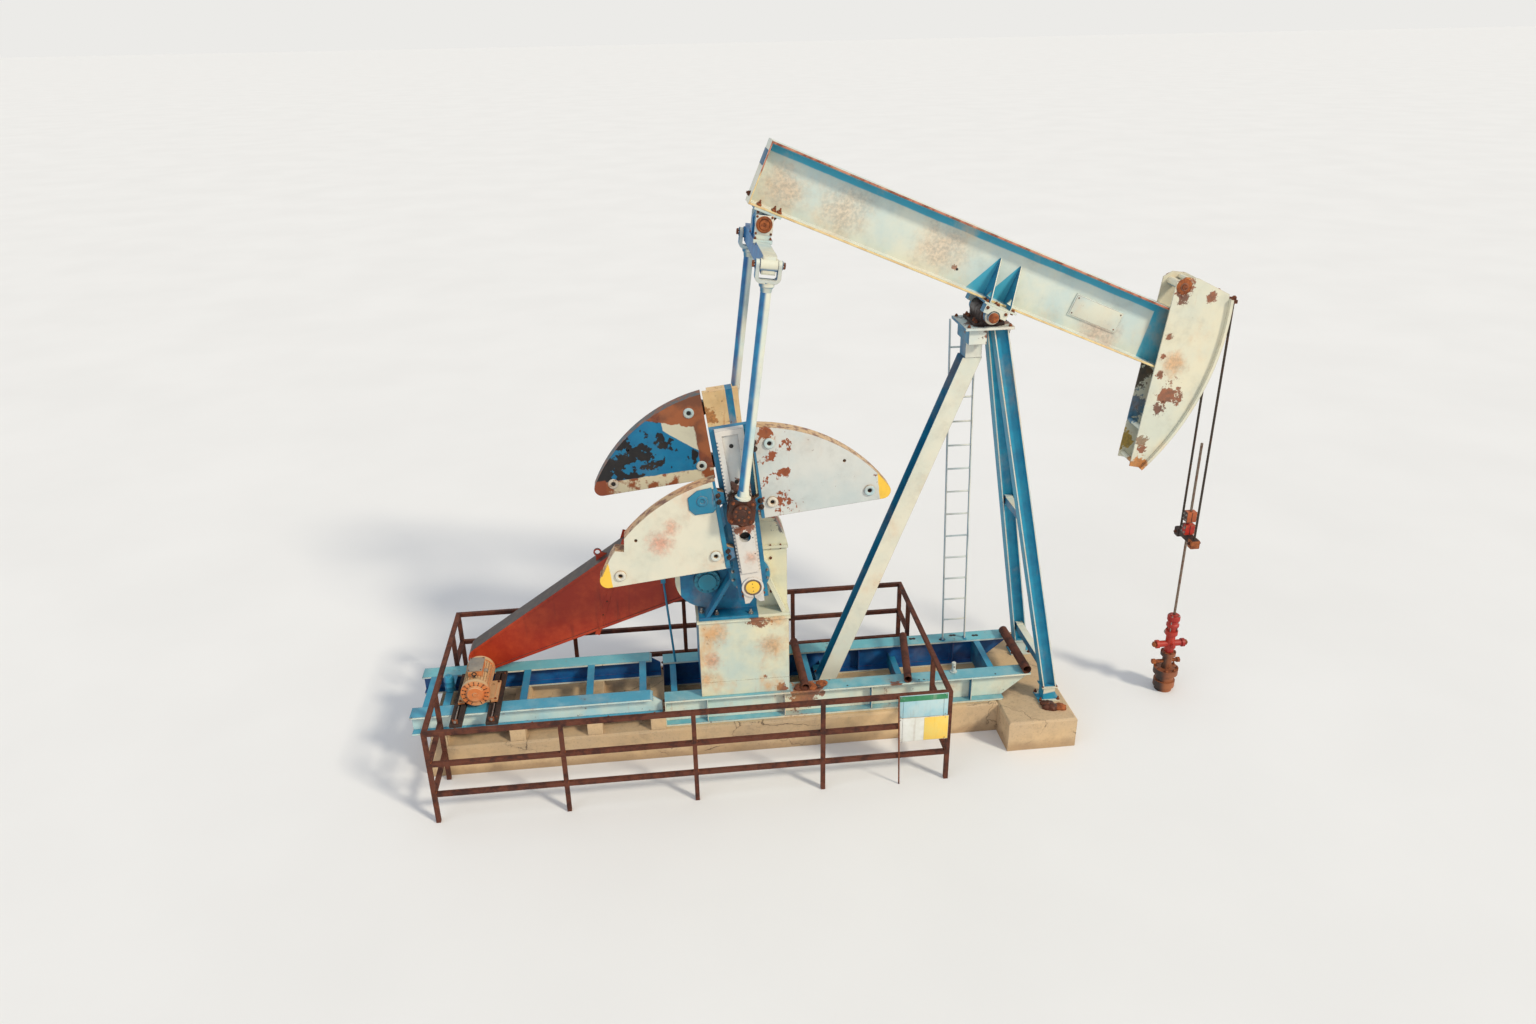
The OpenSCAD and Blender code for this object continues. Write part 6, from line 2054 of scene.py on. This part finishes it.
@dataclass
class Railing(SubAssembly):
    """Rusty railing round the machine, with two bare plates on its near side."""

    near_y: float = -1.420
    far_y: float = 1.160
    rear_x: float = -6.370
    bay: float = 1.457
    half: float = 0.025
    welds_z: tuple[float, ...] = (0.3567, 0.4067, 0.7633, 0.8133)

    def welds(self) -> None:
        """Weld beads where the rails meet the uprights."""
        s = Shape("railing_welds")
        last = 4
        for i, y, z, out in product(range(last + 1), (self.near_y, self.far_y), self.welds_z, SIDES):
            if (i == 0 and out < 0) or (i == last and out > 0):
                continue
            x = self.rear_x + i * self.bay + out * 0.026
            s.bar((x, y - 0.024, z), (x, y + 0.024, z), 0.005, SCALE_RUST, 8)
        self.add(s, Slot.TUBE)

    def plates(self) -> None:
        """Two bare plates hung on the near rail, and the thin stake beside them."""
        s = Shape("bare_plates")
        y = self.near_y - self.half
        s.box((-1.140, y - 0.007, 0.912), (-0.570, y - 0.001, 1.212), SKY_PLATE, 0.003)
        s.box((-1.132, y - 0.0085, 1.135), (-0.578, y - 0.0060, 1.204), GREEN_PLATE, 0.001)
        s.box((-1.130, y - 0.007, 0.585), (-0.555, y - 0.001, 0.905), WHITE_PLATE, 0.003)
        s.box((-0.838, y - 0.0085, 0.590), (-0.558, y - 0.0060, 0.900), YELLOW, 0.001)
        for x, z in product((-1.115, -0.595), (0.93, 1.19, 0.605, 0.885)):
            s.bar((x, y - 0.006, z), (x, y - 0.011, z), 0.007, BOLT_STEEL, 12, 0.001)
        for x in (-1.09, -0.62):
            s.bar((x, y - 0.003, 0.58), (x, y - 0.003, 1.21), 0.004, RUSTY_BOLT, 8)
        s.bar((-1.107, y - 0.016, 0.0), (-1.146, y - 0.016, 1.225), 0.009, RUSTY_BOLT, 16)
        self.add(s, Slot.TUBE)

    def build(self) -> None:
        """Builds the railing."""
        self.dress(TUBE_RUST, "rail_posts", "rail_near", "rail_far", "rail_ends")
        self.welds()
        self.plates()


@dataclass
class Studio:
    """Pale floor, soft light and the camera at the photograph's angle."""

    floor_half: float = 400.0
    sensor_mm: float = 36.0
    lens_px: float = 1078.983373
    width_px: float = 1536.0
    sight: float = 2000.0
    place: Place = (-3.632505, -11.379017, 8.178864)
    yaw: float = 0.105146
    pitch: float = 0.430685
    roll: float = -0.018336
    pale: Rgb = (236, 235, 232)
    cloud: Rgb = (232, 231, 228)
    air: Rgb = (238, 242, 250)
    air_light: float = 0.62

    def floor(self) -> None:
        """Large pale floor that runs out to the horizon."""
        form = bmesh.new()
        bmesh.ops.create_grid(form, x_segments=1, y_segments=1, size=self.floor_half)
        data = bpy.data.meshes.new("studio_floor")
        form.to_mesh(data)
        form.free()
        s = Surface("studio_floor_grey")
        spot = s.node("ShaderNodeMapping", inputs={"Vector": s.place, "Scale": (0.35, 0.35, 0.35)})
        cloud = s.node("ShaderNodeTexNoise", inputs={"Vector": spot, "Scale": 1.0, "Detail": 3.0})
        colour = s.mix(cloud.rise(0.2, 0.8), self.cloud, self.pale)
        data.materials.append(s.finish(colour, 0.9, 0.0, cloud, 0.0001))
        show("studio_floor", data)

    def world(self) -> None:
        """Even pale surroundings, brighter to the camera and in reflections than as a light."""
        world = bpy.data.worlds.new("studio_air")
        bpy.context.scene.world = world
        world.use_nodes = True
        tree = world.node_tree
        background = tree.nodes["Background"]
        background.inputs["Color"].default_value = linear(self.air)
        background.inputs["Strength"].default_value = self.air_light
        light = Shade(tree, background.outputs[0])
        seen = add_node(tree, "ShaderNodeBackground", inputs={"Color": linear(self.pale), "Strength": 1.0})
        camera, mirror, glass = (add_node(tree, "ShaderNodeLightPath", out=f"Is {kind} Ray")
                                 for kind in ("Camera", "Glossy", "Transmission"))
        either = camera.at_least(mirror).at_least(glass)
        mixed = add_node(tree, "ShaderNodeMixShader", inputs={0: either, 1: light, 2: seen})
        tree.links.new(mixed.socket, tree.nodes["World Output"].inputs["Surface"])

    def lamp(self, name: str, direction: Point, strength: float, softness: float, colour: Rgb) -> None:
        """Adds a soft distant lamp.

        Args:
            name: The lamp's name.
            direction: Where its light comes from.
            strength: Its strength.
            softness: Its angle in degrees.
            colour: Its colour.
        """
        data = bpy.data.lights.new(name, "SUN")
        data.energy = strength
        data.angle = math.radians(softness)
        data.color = linear(colour)[:3]
        show(name, data).rotation_euler = Vector(direction).to_track_quat("Z", "Y").to_euler()

    def camera(self) -> None:
        """Camera at the photograph's place and angle."""
        reach = math.cos(self.pitch)
        ahead = Vector((math.sin(self.yaw) * reach, math.cos(self.yaw) * reach, -math.sin(self.pitch)))
        level = Vector((math.cos(self.yaw), -math.sin(self.yaw), 0.0))
        above = level.cross(ahead)
        right = level * math.cos(self.roll) + above * math.sin(self.roll)
        up = above * math.cos(self.roll) - level * math.sin(self.roll)
        data = bpy.data.cameras.new("camera")
        data.sensor_fit = "HORIZONTAL"
        data.sensor_width = self.sensor_mm
        data.lens = self.sensor_mm * self.lens_px / self.width_px
        data.clip_end = self.sight
        camera = show("camera", data)
        turn = Matrix((right, up, -ahead)).transposed().to_4x4()
        camera.matrix_world = Matrix.Translation(self.place) @ turn
        bpy.context.scene.camera = camera

    def build(self) -> None:
        """Builds the studio."""
        bpy.context.scene.view_settings.view_transform = "Standard"
        self.camera()
        self.floor()
        self.world()
        self.lamp("key_lamp", (0.62, -0.58, 0.62), 2.3, 9.0, (255, 246, 228))
        self.lamp("fill_lamp", (-0.8, -0.5, 0.55), 0.55, 60.0, (226, 238, 255))


def main() -> None:
    """Builds the sub-assemblies in order and reports each piece."""
    logging.basicConfig(level=logging.INFO, format="%(name)s: %(message)s")
    Studio().build()
    for kind in (Groundwork, GearReducer, Drive, Cranks, Pitmans, WalkingBeam, SamsonPost, WellEnd, Railing):
        part = kind()
        part.build()
        LOG.info("%s has %d pieces", kind.__name__, len(part.made))


if __name__ == "__main__":
    main()
